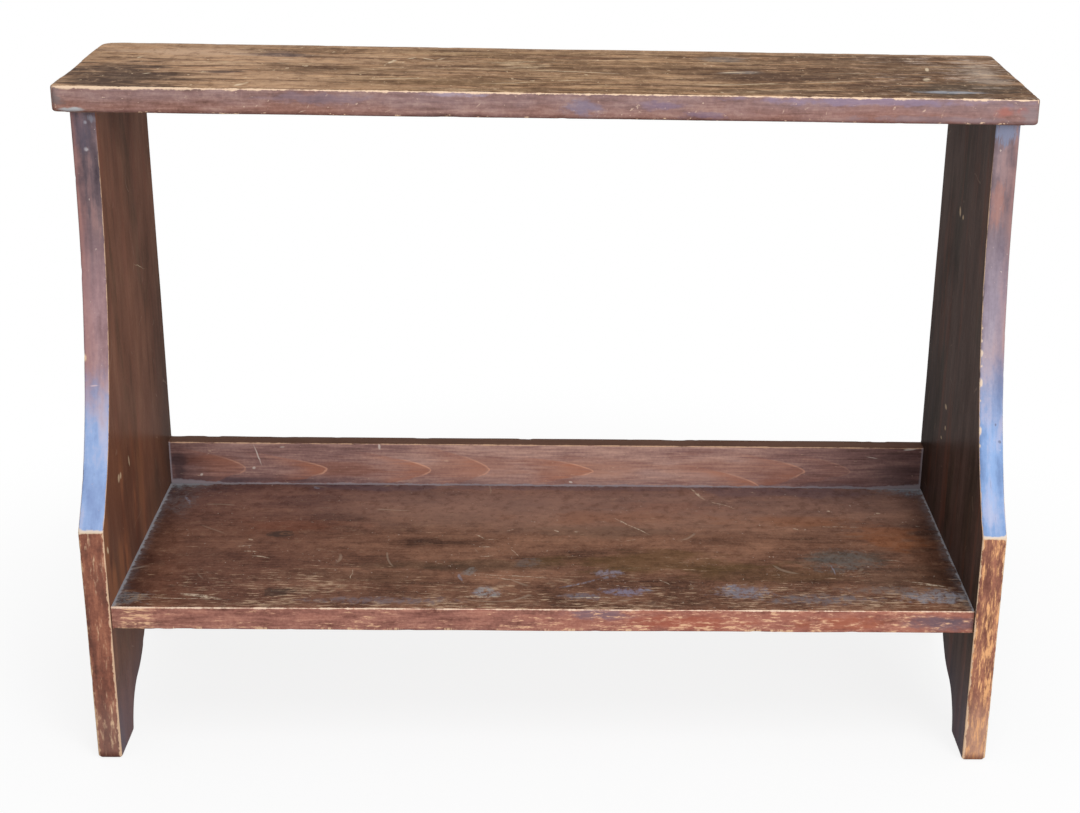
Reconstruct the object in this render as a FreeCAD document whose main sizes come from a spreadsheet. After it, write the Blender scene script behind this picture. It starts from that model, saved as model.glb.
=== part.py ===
import FreeCAD, Part
import math
import os
import re
import Sketcher

# Bucket bench: a narrow top board nailed on two shaped ends, with a low shelf for the buckets
# let into the ends and a low lip nailed behind it.  Millimetres.  +Z is up, +Y goes to the back
# and X = 0, Y = 0, Z = 0 is the middle of the floor area that the feet stand on.

V = FreeCAD.Vector
LEFT, RIGHT = -1, 1
X_WAY, Y_WAY, Z_WAY = V(1, 0, 0), V(0, 1, 0), V(0, 0, 1)
ORIGIN = (-1, 1)      # the sketch's own origin, as a pair of geometry and point
START, END, CENTRE = 1, 2, 3

# ---------------------------------------------------------------------------------------------
# Driving sizes: one row of the sheet each, in millimetres unless the note says otherwise.
# ---------------------------------------------------------------------------------------------
SIZES = [
    ("bench_length", 1016, "the top board, end to end (40 in)"),
    ("bench_height", 712, "floor to the top board's upper face (28 in)"),
    ("bench_depth", 382, "the ends, front to back, at the feet (15 in)"),
    ("top_depth", 257, "the top board, front to back"),
    ("top_thick", 27, "the top board"),
    ("top_corner_radius", 9, "the top board's back corners, seen from above"),
    ("top_nose_radius", 4, "the top board's front corners, seen from above"),
    ("end_thick", 26.5, "each end board"),
    ("end_overhang", 17.5, "the top board past each end's outer face"),
    ("nosing", 5.3, "the top board past the ends' front edge at the top"),
    ("front_lean", 6.6, "how far the front edge leans forward from its corner to the floor"),
    ("corner_height", 269, "floor to the corner where the swept front edge starts"),
    ("corner_radius", 2.5, "the worn point of that corner"),
    ("sweep_angle", 44, "degrees from plumb at which the sweep leaves that corner"),
    ("sweep_pull", 116.5, "length of the sweep's lower tangent"),
    ("sweep_top_pull", 196, "length of the sweep's upper, plumb tangent"),
    ("foot_opening", 252, "width of the cut-out between the feet, at the floor"),
    ("scroll_radius", 55.5, "the rounded shoulder beside each foot"),
    ("scroll_drop", 5, "that shoulder's centre below the floor"),
    ("reverse_radius", 94, "the hollow between shoulder and crown"),
    ("crown_radius", 45, "the round top of the cut-out"),
    ("crown_height", 95, "floor to the top of the cut-out"),
    ("toe_radius", 5, "the feet's worn lower corners"),
    ("shelf_height", 180.5, "floor to the shelf's upper face"),
    ("shelf_thick", 27, "the shelf"),
    ("shelf_setback", 10.8, "the shelf's front edge behind the feet's front"),
    ("housing_depth", 8, "how far the shelf is let into each end"),
    ("housing_stop", 16, "the shelf's front corner that stays outside the housing"),
    ("housing_gap", 0.1, "play between the shelf's tongue and its housing"),
    ("lip_rise", 53.5, "the lip above the shelf"),
    ("lip_thick", 23.5, "the lip"),
    ("arris_radius", 1.6, "the top's, shelf's and lip's softened long edges"),
    ("end_arris", 1.3, "the flat planed along the ends' edges, as far as it goes into each face"),
    ("nail_length", 64, "a cut nail, head and shank (2 1/2 in)"),
    ("nail_gauge", 3.2, "the shank's even thickness"),
    ("nail_neck", 5, "the shank's width under the head"),
    ("nail_tip", 2.2, "the shank's width at the tip"),
    ("nail_head_wide", 7.4, "the head, along the shank's width"),
    ("nail_head_narrow", 5.2, "the head, across the shank"),
    ("nail_head_deep", 1.6, "the head's thickness"),
    ("nail_set", 0.8, "the head's top below the wood"),
    ("nail_gap", 0.05, "play round a nail"),
    ("top_nail_inset", 34, "first and last top nail from the ends' front and back edges"),
    ("shelf_nail_inset", 52, "first and last shelf nail from the shelf's front and back edges"),
    ("lip_nail_inset", 19, "lower and upper nail from the lip's edges"),
    ("back_nail_inset", 96, "first and last back nail from the ends' inner faces"),
    ("long_row", 3, "nails in a row across an end (a count)"),
    ("short_row", 2, "nails in a row through the lip's end (a count)"),
    ("back_row", 5, "nails in the row along the lip (a count)"),
]

# Places that several pieces share, as formulas of the sizes above.
BACK = "bench_depth / 2"
TOP_FRONT = "bench_depth / 2 - top_depth"
TOP_UNDER = "bench_height - top_thick"
END_FRONT = "bench_depth / 2 - top_depth + nosing"        # front edge of an end, at its top
OUTER_FACE = "(bench_length / 2 - end_overhang)"
INNER_FACE = "(bench_length / 2 - end_overhang - end_thick)"
SHELF_FRONT = "shelf_setback - bench_depth / 2"
SHELF_BACK = "bench_depth / 2 - lip_thick"
SHELF_UNDER = "shelf_height - shelf_thick"

doc = FreeCAD.newDocument("bucket_bench")
sheet = doc.addObject("Spreadsheet::Sheet", "Sizes")
for row, (alias, number, note) in enumerate(SIZES, 1):
    sheet.set(f"A{row}", str(number))
    sheet.setAlias(f"A{row}", alias)
    sheet.set(f"B{row}", note)
doc.recompute()


def size(alias):
    """The number in the sheet's cell of that alias."""
    return float(sheet.get(alias))


def drive(thing, path, formula):
    """Bind a property or a sketch constraint to a formula of the sheet's aliases."""
    names = "|".join(sorted((alias for alias, _, _ in SIZES), key=len, reverse=True))
    thing.setExpression(path, re.sub(rf"\b({names})\b", r"Sizes.\1", formula))


def origin_feature(body, role):
    """The origin plane or axis of a body that plays this role, such as XY_Plane."""
    return next(part for part in body.Origin.OriginFeatures if part.Role == role)


def new_body(label, x="0", y="0", z="0"):
    """A body whose placement follows three formulas."""
    body = doc.addObject("PartDesign::Body", label)
    for axis, formula in zip("xyz", (x, y, z)):
        drive(body, f"Placement.Base.{axis}", formula)
    return body


def new_sketch(body, label, plane):
    """An empty sketch on one of the body's origin planes."""
    sketch = body.newObject("Sketcher::SketchObject", label)
    sketch.AttachmentSupport = [(origin_feature(body, plane), "")]
    sketch.MapMode = "FlatFace"
    return sketch


def bind(sketch, kind, name, formula, *where):
    """Add one dimension to a sketch and bind it to a formula.

    where is what a Sketcher constraint takes after its kind: geometries, points and a first value.
    """
    index = sketch.addConstraint(Sketcher.Constraint(kind, *where))
    sketch.renameConstraint(index, name)
    drive(sketch, f"Constraints.{name}", formula)


def pin(sketch, name, spot, across, up):
    """Hold one point of a sketch at two formulas, measured from the sketch's origin.

    spot is a pair: the geometry and which of its points.
    """
    here = sketch.getPoint(*spot)
    bind(sketch, "DistanceX", f"{name}_across", across, *ORIGIN, *spot, here.x)
    bind(sketch, "DistanceY", f"{name}_up", up, *ORIGIN, *spot, here.y)


def pinned_outline(sketch, corners):
    """A closed outline of straight lines.

    corners is a list of pairs of formulas, one pair for each corner in turn.  The lines start on
    a rough ring and the dimensions carry them to their places.
    """
    count = len(corners)
    turn = [2 * math.pi * step / count for step in range(count)]
    ring = [V(100 * math.cos(a), 100 * math.sin(a), 0) for a in turn]
    for step, spot in enumerate(ring):
        sketch.addGeometry(Part.LineSegment(spot, ring[(step + 1) % count]), False)
    for step in range(count):
        following = (step + 1) % count
        sketch.addConstraint(Sketcher.Constraint("Coincident", step, END, following, START))
    for step, (across, up) in enumerate(corners):
        pin(sketch, f"corner{step}", (step, START), across, up)


def pad(body, sketch, label, formula, midplane=False, reverse=False):
    """Pad a sketch by a formula: to one side of its plane, or half to each side."""
    feature = body.newObject("PartDesign::Pad", label)
    feature.Profile = sketch
    feature.Midplane = midplane
    feature.Reversed = reverse
    drive(feature, "Length", formula)
    doc.recompute()
    return feature


def pocket(body, sketch, label, formula, reverse):
    """Cut a sketch into the body by a formula, and make sure that it removed wood."""
    before = body.Shape.Volume
    feature = body.newObject("PartDesign::Pocket", label)
    feature.Profile = sketch
    feature.Reversed = reverse
    drive(feature, "Length", formula)
    doc.recompute()
    if body.Shape.Volume >= before:
        raise RuntimeError(f"{label} removed nothing")
    return feature


def soften(body, label, formula, chosen, flat=False):
    """Round those edges of the body for which chosen(edge) is true, or plane them flat."""
    base = body.Tip
    names = [f"Edge{n}" for n, edge in enumerate(base.Shape.Edges, 1) if chosen(edge)]
    feature = body.newObject("PartDesign::Chamfer" if flat else "PartDesign::Fillet", label)
    feature.Base = (base, names)
    drive(feature, "Size" if flat else "Radius", formula)
    doc.recompute()
    return feature


def level(edge, axis, place):
    """Whether an edge lies all along in the plane where that axis has that value."""
    box = edge.BoundBox
    low, high = getattr(box, f"{axis}Min"), getattr(box, f"{axis}Max")
    return abs(low - place) < 1e-4 and abs(high - place) < 1e-4


def plumb(edge):
    """Whether an edge stands upright."""
    return edge.BoundBox.XLength < 1e-4 and edge.BoundBox.YLength < 1e-4


def crosswise(edge):
    """Whether an edge runs straight along X."""
    return edge.BoundBox.YLength < 1e-4 and edge.BoundBox.ZLength < 1e-4


# ---------------------------------------------------------------------------------------------
# Boards
# ---------------------------------------------------------------------------------------------
def make_top_board():
    """The top board: a plank with rounded corners and softened edges."""
    body = new_body("top_board_blank", z=TOP_UNDER)
    outline = new_sketch(body, "top_outline", "XY_Plane")
    left, right = "-bench_length / 2", "bench_length / 2"
    pinned_outline(outline, [(left, TOP_FRONT), (right, TOP_FRONT), (right, BACK), (left, BACK)])
    pad(body, outline, "top_plank", "top_thick")
    middle = size("bench_depth") / 2 - size("top_depth") / 2
    soften(body, "top_back_corners", "top_corner_radius",
           lambda edge: plumb(edge) and edge.CenterOfMass.y > middle)
    soften(body, "top_front_corners", "top_nose_radius",
           lambda edge: plumb(edge) and edge.CenterOfMass.y < middle
           and abs(edge.CenterOfMass.x) > size("bench_length") / 2 - 0.01)
    soften(body, "top_arrises", "arris_radius",
           lambda edge: level(edge, "Z", 0) or level(edge, "Z", size("top_thick")))
    return body


def foot_cutout_arcs():
    """The five arcs of the cut-out between the feet, from the rear foot to the front foot.

    The crown's centre stands over the middle.  Each shoulder passes through its foot's corner on
    the floor.  The reverse curve touches both, so its centre is a scroll radius plus a reverse
    radius from the shoulder's centre and a crown radius plus a reverse radius from the crown's.
    Returns each arc as centre, radius and its two end angles, counter-clockwise.
    """
    scroll, reverse, crown = size("scroll_radius"), size("reverse_radius"), size("crown_radius")
    drop = size("scroll_drop")
    crown_centre = V(0, size("crown_height") - crown, 0)
    inward = math.sqrt(scroll ** 2 - drop ** 2) - size("foot_opening") / 2
    scroll_centre = V(inward, -drop, 0)
    apart = crown_centre - scroll_centre
    to_scroll, to_crown = scroll + reverse, crown + reverse
    along = (to_scroll ** 2 - to_crown ** 2 + apart.Length ** 2) / (2 * apart.Length)
    aside = math.sqrt(to_scroll ** 2 - along ** 2)
    unit = apart / apart.Length
    reverse_centre = scroll_centre + unit * along + V(-unit.y, unit.x, 0) * aside

    def heading(start, end):
        return math.atan2(end.y - start.y, end.x - start.x)

    corner = V(-size("foot_opening") / 2, 0, 0)
    shoulder = (heading(scroll_centre, reverse_centre), heading(scroll_centre, corner))
    hollow = (heading(reverse_centre, scroll_centre), heading(reverse_centre, crown_centre))
    lean = heading(crown_centre, reverse_centre)

    def mirrored(centre, radius, angles):
        return V(-centre.x, centre.y, 0), radius, (math.pi - angles[1], math.pi - angles[0])

    front = [(reverse_centre, reverse, hollow), (scroll_centre, scroll, shoulder)]
    rear = [mirrored(*arc) for arc in reversed(front)]
    return rear + [(crown_centre, crown, (math.pi - lean, lean))] + front


def draw_end_outline(sketch):
    """The end board's outline, seen from the side.

    It runs from the front toe up the leaning front edge to its corner, along the sweep to the
    top, down the back and along the scrolled cut-out between the feet.  The sweep is a cubic
    curve of four poles: it leaves the corner at the sweep angle and arrives plumb.
    """
    half, top = size("bench_depth") / 2, size("bench_height") - size("top_thick")
    toe = V(-half, 0, 0)
    corner = V(size("front_lean") - half, size("corner_height"), 0)
    neck = V(half - size("top_depth") + size("nosing"), top, 0)
    angle = math.radians(size("sweep_angle"))
    low_pole = corner + V(math.sin(angle), math.cos(angle), 0) * size("sweep_pull")
    high_pole = neck - V(0, size("sweep_top_pull"), 0)
    curve = Part.BSplineCurve()
    curve.buildFromPolesMultsKnots([corner, low_pole, high_pole, neck], [4, 4], [0, 1], False, 3)
    crest, heel = V(half, top, 0), V(half, 0, 0)
    rear_foot, front_foot = V(size("foot_opening") / 2, 0, 0), V(-size("foot_opening") / 2, 0, 0)

    front = sketch.addGeometry(Part.LineSegment(toe, corner), False)
    sweep = sketch.addGeometry(curve, False)
    head = sketch.addGeometry(Part.LineSegment(neck, crest), False)
    back = sketch.addGeometry(Part.LineSegment(crest, heel), False)
    rear_sole = sketch.addGeometry(Part.LineSegment(heel, rear_foot), False)
    arcs = [sketch.addGeometry(Part.ArcOfCircle(Part.Circle(centre, Z_WAY, radius), *angles), False)
            for centre, radius, angles in foot_cutout_arcs()]
    front_sole = sketch.addGeometry(Part.LineSegment(front_foot, toe), False)
    rear_scroll, rear_reverse, crown, front_reverse, front_scroll = arcs
    sketch.exposeInternalGeometry(sweep)
    low_pole_mark, high_pole_mark = front_sole + 2, front_sole + 3

    joints = [(front, END, sweep, START), (sweep, END, head, START), (head, END, back, START),
              (back, END, rear_sole, START), (rear_sole, END, rear_scroll, START),
              (front_scroll, END, front_sole, START), (front_sole, END, front, START)]
    for joint in joints:
        sketch.addConstraint(Sketcher.Constraint("Coincident", *joint))
    smooth = [(rear_scroll, END, rear_reverse, END), (rear_reverse, START, crown, START),
              (crown, END, front_reverse, END), (front_reverse, START, front_scroll, START)]
    for joint in smooth:
        sketch.addConstraint(Sketcher.Constraint("Tangent", *joint))

    pin(sketch, "toe", (front, START), "-bench_depth / 2", "0")
    pin(sketch, "corner", (front, END), "front_lean - bench_depth / 2", "corner_height")
    pin(sketch, "low_pole", (low_pole_mark, CENTRE),
        "front_lean - bench_depth / 2 + sweep_pull * sin(sweep_angle)",
        "corner_height + sweep_pull * cos(sweep_angle)")
    pin(sketch, "high_pole", (high_pole_mark, CENTRE), END_FRONT,
        "bench_height - top_thick - sweep_top_pull")
    pin(sketch, "neck", (head, START), END_FRONT, TOP_UNDER)
    pin(sketch, "crest", (back, START), BACK, TOP_UNDER)
    pin(sketch, "heel", (rear_sole, START), BACK, "0")
    pin(sketch, "rear_foot", (rear_sole, END), "foot_opening / 2", "0")
    pin(sketch, "front_foot", (front_sole, START), "-foot_opening / 2", "0")
    pin(sketch, "crown", (crown, CENTRE), "0", "crown_height - crown_radius")
    radii = [(rear_scroll, "scroll_radius"), (rear_reverse, "reverse_radius"),
             (crown, "crown_radius"), (front_reverse, "reverse_radius"),
             (front_scroll, "scroll_radius")]
    for step, (arc, formula) in enumerate(radii):
        bind(sketch, "Radius", f"radius{step}", formula, arc, sketch.Geometry[arc].Radius)
    for name, arc in (("rear", rear_scroll), ("front", front_scroll)):
        bind(sketch, "DistanceY", f"{name}_scroll_drop", "-scroll_drop",
             *ORIGIN, arc, CENTRE, -size("scroll_drop"))


def make_end(label, side):
    """One end board, from its inner face outwards, with the stopped housing for the shelf.

    side is LEFT or RIGHT.
    """
    body = new_body(f"{label}_blank", x=f"{side} * {INNER_FACE}")
    outline = new_sketch(body, f"{label}_outline", "YZ_Plane")
    draw_end_outline(outline)
    pad(body, outline, f"{label}_plank", "end_thick", reverse=side == LEFT)
    soften(body, f"{label}_toes", "toe_radius", lambda edge: crosswise(edge) and level(edge, "Z", 0))
    soften(body, f"{label}_corner", "corner_radius",
           lambda edge: crosswise(edge) and level(edge, "Z", size("corner_height")))
    crest = size("bench_height") - size("top_thick")
    for name, face in (("inner", 0), ("outer", side * size("end_thick"))):
        soften(body, f"{label}_{name}_arrises", "end_arris",
               lambda edge: level(edge, "X", face) and not level(edge, "Z", crest), flat=True)
    housing = new_sketch(body, f"{label}_housing_outline", "YZ_Plane")
    front = f"{SHELF_FRONT} + housing_stop - housing_gap"
    back = f"{SHELF_BACK} + housing_gap"
    low = f"{SHELF_UNDER} - housing_gap"
    high = "shelf_height + housing_gap"
    pinned_outline(housing, [(front, low), (back, low), (back, high), (front, high)])
    pocket(body, housing, f"{label}_housing", "housing_depth", reverse=side == RIGHT)
    return body


def make_shelf():
    """The shelf: a plank with a tongue at each end, cut back at the front corners."""
    body = new_body("lower_shelf_blank", z=SHELF_UNDER)
    outline = new_sketch(body, "shelf_outline", "XY_Plane")
    shoulder, tongue = INNER_FACE, f"{INNER_FACE} + housing_depth - housing_gap"
    stop = f"{SHELF_FRONT} + housing_stop"
    right = [(shoulder, SHELF_FRONT), (shoulder, stop), (tongue, stop), (tongue, SHELF_BACK)]
    left = [(f"-({across})", along) for across, along in reversed(right)]
    pinned_outline(outline, right + left)
    pad(body, outline, "shelf_plank", "shelf_thick")
    front = size("shelf_setback") - size("bench_depth") / 2
    soften(body, "shelf_arrises", "arris_radius",
           lambda edge: level(edge, "Y", front) and not plumb(edge))
    return body


def make_lip():
    """The lip: a narrow board on edge behind the shelf, between the ends."""
    body = new_body("back_lip_blank")
    section = new_sketch(body, "lip_section", "YZ_Plane")
    top = "shelf_height + lip_rise"
    pinned_outline(section, [(SHELF_BACK, SHELF_UNDER), (BACK, SHELF_UNDER), (BACK, top),
                             (SHELF_BACK, top)])
    pad(body, section, "lip_plank", f"2 * {INNER_FACE}", midplane=True)
    back, crest = size("bench_depth") / 2, size("shelf_height") + size("lip_rise")
    foot = size("shelf_height") - size("shelf_thick")
    soften(body, "lip_arrises", "arris_radius",
           lambda edge: edge.BoundBox.XLength > 1
           and (level(edge, "Z", crest) or (level(edge, "Z", foot) and level(edge, "Y", back))))
    return body


# ---------------------------------------------------------------------------------------------
# Cut nails
# ---------------------------------------------------------------------------------------------
def make_nail(body, label, play, rise):
    """One cut nail in a body, head up: its head's top is at Z = 0 and its tip points down.

    The shank has an even thickness and tapers in width.  play widens the nail on all sides and
    rise carries the head up, for the hole that the nail sits in.
    Returns the nail's two features, shank and head.
    """
    taper = new_sketch(body, f"{label}_taper", "XZ_Plane")
    neck, tip = f"nail_neck / 2 + {play}", f"nail_tip / 2 + {play}"
    bottom = f"-nail_length - {play}"
    pinned_outline(taper, [(neck, "0"), (tip, bottom), (f"-({tip})", bottom), (f"-({neck})", "0")])
    shank = pad(body, taper, f"{label}_shank", f"nail_gauge + 2 * {play}", midplane=True)
    block = new_sketch(body, f"{label}_block", "XZ_Plane")
    wide, under = f"nail_head_wide / 2 + {play}", f"-nail_head_deep - {play}"
    pinned_outline(block, [(wide, rise), (wide, under), (f"-({wide})", under),
                           (f"-({wide})", rise)])
    head = pad(body, block, f"{label}_head", f"nail_head_narrow + 2 * {play}", midplane=True)
    return shank, head


def make_nail_row(label, first, outward, wide, along, length, count, hole):
    """A row of cut nails, or of their holes, as one body of separate solids.

    first is three formulas, the middle of the first nail's head on the wood's face.  outward is
    the way the head faces, wide the way its shank is wide and along the way the row runs.
    length is the formula of the first nail's distance to the last and count the alias of how
    many there are.
    """
    sunk = ["" if abs(part) < 0.5 else f" - {part:g} * nail_set" for part in outward]
    body = new_body(label, *(f"{place}{back}" for place, back in zip(first, sunk)))
    body.Placement.Rotation = FreeCAD.Rotation(wide, outward.cross(wide), outward, "ZXY")
    play, rise = ("nail_gap", "nail_set + nail_gap") if hole else ("0", "0")
    features = make_nail(body, label, play, rise)
    row = body.newObject("PartDesign::LinearPattern", f"{label}_row")
    row.Originals = list(features)
    in_width = abs(along.dot(wide)) > 0.5
    row.Direction = (origin_feature(body, "X_Axis" if in_width else "Y_Axis"), [""])
    row.Reversed = along.dot(wide if in_width else outward.cross(wide)) < 0
    drive(row, "Length", length)
    drive(row, "Occurrences", count)
    body.Tip = row
    doc.recompute()
    return body


def nail_rows():
    """Where each row of nails is: its label and the arguments of make_nail_row."""
    rows = []
    for name, side in (("left", LEFT), ("right", RIGHT)):
        outward = X_WAY * side
        middle = f"{side} * ({INNER_FACE} + end_thick / 2)"
        face = f"{side} * {OUTER_FACE}"
        rows.append((f"{name}_top_nails", (middle, f"{END_FRONT} + top_nail_inset", "bench_height"),
                     Z_WAY, X_WAY, Y_WAY, "top_depth - nosing - 2 * top_nail_inset", "long_row"))
        rows.append((f"{name}_shelf_nails",
                     (face, f"{SHELF_FRONT} + shelf_nail_inset", "shelf_height - shelf_thick / 2"),
                     outward, Z_WAY, Y_WAY,
                     "bench_depth - lip_thick - shelf_setback - 2 * shelf_nail_inset", "long_row"))
        rows.append((f"{name}_lip_nails",
                     (face, f"{BACK} - lip_thick / 2", f"{SHELF_UNDER} + lip_nail_inset"),
                     outward, Z_WAY, Z_WAY,
                     "shelf_thick + lip_rise - 2 * lip_nail_inset", "short_row"))
    rows.append(("back_lip_nails",
                 (f"back_nail_inset - {INNER_FACE}", BACK, "shelf_height - shelf_thick / 2"),
                 Y_WAY, X_WAY, X_WAY, f"2 * {INNER_FACE} - 2 * back_nail_inset", "back_row"))
    return rows


# ---------------------------------------------------------------------------------------------
# The bench
# ---------------------------------------------------------------------------------------------
def bored(label, blank, holes):
    """A board with the holes of its nails cut out of it."""
    tool = doc.addObject("Part::Compound", f"{label}_holes")
    tool.Links = holes
    board = doc.addObject("Part::Cut", label)
    board.Base, board.Tool = blank, tool
    return board


rows = nail_rows()
nails = [make_nail_row(label, *where, hole=False) for label, *where in rows]
holes = {label: make_nail_row(f"{label}_holes", *where, hole=True) for label, *where in rows}

boards = [
    bored("top_board", make_top_board(), [holes["left_top_nails"], holes["right_top_nails"]]),
    bored("left_end", make_end("left_end", LEFT),
          [holes["left_top_nails"], holes["left_shelf_nails"], holes["left_lip_nails"]]),
    bored("right_end", make_end("right_end", RIGHT),
          [holes["right_top_nails"], holes["right_shelf_nails"], holes["right_lip_nails"]]),
    bored("lower_shelf", make_shelf(),
          [holes["left_shelf_nails"], holes["right_shelf_nails"], holes["back_lip_nails"]]),
    bored("back_lip", make_lip(),
          [holes["left_lip_nails"], holes["right_lip_nails"], holes["back_lip_nails"]]),
]
doc.recompute()

# Every object must have computed, and every sub-part must be a sound shape, before it is written.
for thing in doc.Objects:
    if {"Invalid", "Error"} & set(thing.State):
        raise RuntimeError(f"{thing.Label} did not compute: {thing.State}")
os.makedirs("parts", exist_ok=True)
for piece in boards + nails:
    shape = piece.Shape
    if shape.isNull() or not shape.isValid():
        raise RuntimeError(f"{piece.Label} has no sound shape")
    shape.exportStep(f"parts/{piece.Label}.step")
    box = shape.BoundBox
    print(f"{piece.Label}: {len(shape.Solids)} solids, {shape.Volume / 1000:.1f} cm3, "
          f"x {box.XMin:.1f} {box.XMax:.1f}, y {box.YMin:.1f} {box.YMax:.1f}, "
          f"z {box.ZMin:.1f} {box.ZMax:.1f}")
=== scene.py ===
"""Bucket bench: an old stained pine bench of five nailed boards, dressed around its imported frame.

Lengths are metres, +Z is up, +Y goes to the back and the bench's front faces -Y.
"""

import logging
import math
from dataclasses import dataclass, field, replace
from enum import Enum
from functools import cached_property
from typing import Any, Callable, Iterable, Sequence

import bpy
import numpy as np
from mathutils import Matrix, Vector

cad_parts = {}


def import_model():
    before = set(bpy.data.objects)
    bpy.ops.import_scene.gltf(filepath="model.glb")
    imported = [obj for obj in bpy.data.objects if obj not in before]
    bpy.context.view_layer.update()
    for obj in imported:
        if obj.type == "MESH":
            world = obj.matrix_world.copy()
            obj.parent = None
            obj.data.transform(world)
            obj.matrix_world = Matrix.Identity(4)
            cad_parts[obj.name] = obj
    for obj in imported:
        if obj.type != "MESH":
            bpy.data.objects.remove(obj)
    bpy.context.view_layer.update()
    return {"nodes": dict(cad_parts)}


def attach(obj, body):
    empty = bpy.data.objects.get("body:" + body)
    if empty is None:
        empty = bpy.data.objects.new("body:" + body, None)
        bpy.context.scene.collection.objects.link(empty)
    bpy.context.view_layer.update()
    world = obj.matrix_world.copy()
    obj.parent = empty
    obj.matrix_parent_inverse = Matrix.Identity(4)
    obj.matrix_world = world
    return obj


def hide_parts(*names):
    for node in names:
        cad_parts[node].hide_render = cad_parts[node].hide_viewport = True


log = logging.getLogger("bucket_bench")

MM = 0.001
INNER = 0.464  # How far off the middle the ends' inner faces are.
THICK = 0.0265  # How thick the ends are.
FAR = 9.0  # A cell so long, in metres, that its noise doesn't change that way.
Triple = tuple[float, float, float]
Colour = str  # Display red, green and blue, two hexadecimal digits each.


# ---- Numbers that vary in space ----
@dataclass(frozen=True)
class Grain3:
    """Smooth random numbers in space, the same on every run.

    Each corner of a unit lattice holds a number hashed from its place, and a point takes the
    blend of its cell's eight corners with quintic weights.

    Attributes:
        seed: Chooses the set of numbers.
    """

    seed: int

    def _corner(self, cell: np.ndarray) -> np.ndarray:
        """Hash lattice corners to numbers from -1 to 1.

        Args:
            cell: Whole lattice places, with x, y and z on the last axis.

        Returns:
            One number for each.
        """
        mixed = (cell[..., 0] * 73856093) ^ (cell[..., 1] * 19349663) ^ (cell[..., 2] * 83492791)
        mixed = (mixed ^ (self.seed * 2654435761)).astype(np.uint64) & np.uint64(0xFFFFFFFF)
        mixed = ((mixed ^ (mixed >> np.uint64(15))) * np.uint64(2246822519)) & np.uint64(0xFFFFFFFF)
        mixed = ((mixed ^ (mixed >> np.uint64(13))) * np.uint64(3266489917)) & np.uint64(0xFFFFFFFF)
        mixed = mixed ^ (mixed >> np.uint64(16))
        return mixed.astype(float) / 0xFFFFFFFF * 2.0 - 1.0

    def at(self, points: np.ndarray) -> np.ndarray:
        """Sample the field.

        Args:
            points: An array whose last axis is x, y, z in lattice units.

        Returns:
            One number from -1 to 1 for each point.
        """
        cell = np.floor(points).astype(np.int64)
        part = points - cell
        weight = part ** 3 * (part * (part * 6.0 - 15.0) + 10.0)
        total = np.zeros(points.shape[:-1])
        for corner in np.ndindex(2, 2, 2):
            pick = np.array(corner)
            share = np.prod(np.where(pick == 1, weight, 1.0 - weight), axis=-1)
            total += share * self._corner(cell + pick)
        return total

    def layered(self, points: np.ndarray, octaves: int) -> np.ndarray:
        """Add octaves of the field, each twice as fine and half as strong as the one before.

        Args:
            points: Places as at() takes them.
            octaves: How many there are.

        Returns:
            One number from -1 to 1 for each point.
        """
        total, strength, scale, peak = np.zeros(points.shape[:-1]), 1.0, 1.0, 0.0
        for octave in range(octaves):
            total += strength * self.at(points * scale + 17.3 * octave)
            peak += strength
            strength, scale = strength / 2.0, scale * 2.0
        return total / peak


def ramped(value: np.ndarray, low: float, high: float) -> np.ndarray:
    """The smooth step from 0 at low to 1 at high: 3t^2 - 2t^3 of the clipped share."""
    share = np.clip((value - low) / (high - low), 0.0, 1.0)
    return share * share * (3.0 - 2.0 * share)


# ---- Surfaces on grids ----
@dataclass
class Shell:
    """A closed surface of quads under construction.

    Attributes:
        points: Its vertices, one row each.
        quads: Four vertex numbers for each face.
        rim: Each vertex's distance from the board's nearest long edge.
        bare: How far each vertex is worn to bare wood, from 0 to 1.
    """

    points: np.ndarray
    quads: np.ndarray
    rim: np.ndarray
    bare: np.ndarray = field(default_factory=lambda: np.zeros(0))

    def normals(self) -> np.ndarray:
        """Vertex normals: the sum of the cross products of the diagonals of the quads around.

        Returns:
            One unit vector for each vertex.
        """
        corner = self.points[self.quads]
        cross = np.cross(corner[:, 2] - corner[:, 0], corner[:, 3] - corner[:, 1])
        total = np.zeros_like(self.points)
        for side in range(4):
            np.add.at(total, self.quads[:, side], cross)
        return total / np.maximum(np.linalg.norm(total, axis=1, keepdims=True), 1e-12)

    def sink(self, depth: np.ndarray) -> None:
        """Move every vertex inwards along its normal by its own depth."""
        self.points = self.points - self.normals() * depth[:, None]

    def to_object(self, name: str) -> bpy.types.Object:
        """Make a smooth-shaded Blender object with the attributes rim, bare and facing.

        Args:
            name: The object's and its mesh's name.

        Returns:
            The object; facing holds the way that each vertex looks.
        """
        mesh = bpy.data.meshes.new(name)
        mesh.vertices.add(len(self.points))
        mesh.vertices.foreach_set("co", self.points.astype(np.float32).ravel())
        mesh.loops.add(self.quads.size)
        mesh.loops.foreach_set("vertex_index", self.quads.astype(np.int32).ravel())
        mesh.polygons.add(len(self.quads))
        mesh.polygons.foreach_set("loop_start", np.arange(0, self.quads.size, 4, dtype=np.int32))
        mesh.update(calc_edges=True)
        mesh.validate()
        mesh.polygons.foreach_set("use_smooth", np.ones(len(mesh.polygons), dtype=bool))
        for label, values in (("rim", self.rim), ("bare", self.bare)):
            layer = mesh.attributes.new(label, "FLOAT", "POINT")
            layer.data.foreach_set("value", values.astype(np.float32))
        layer = mesh.attributes.new("facing", "FLOAT_VECTOR", "POINT")
        layer.data.foreach_set("vector", self.normals().astype(np.float32).ravel())
        thing = bpy.data.objects.new(name, mesh)
        bpy.context.scene.collection.objects.link(thing)
        return thing


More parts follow.
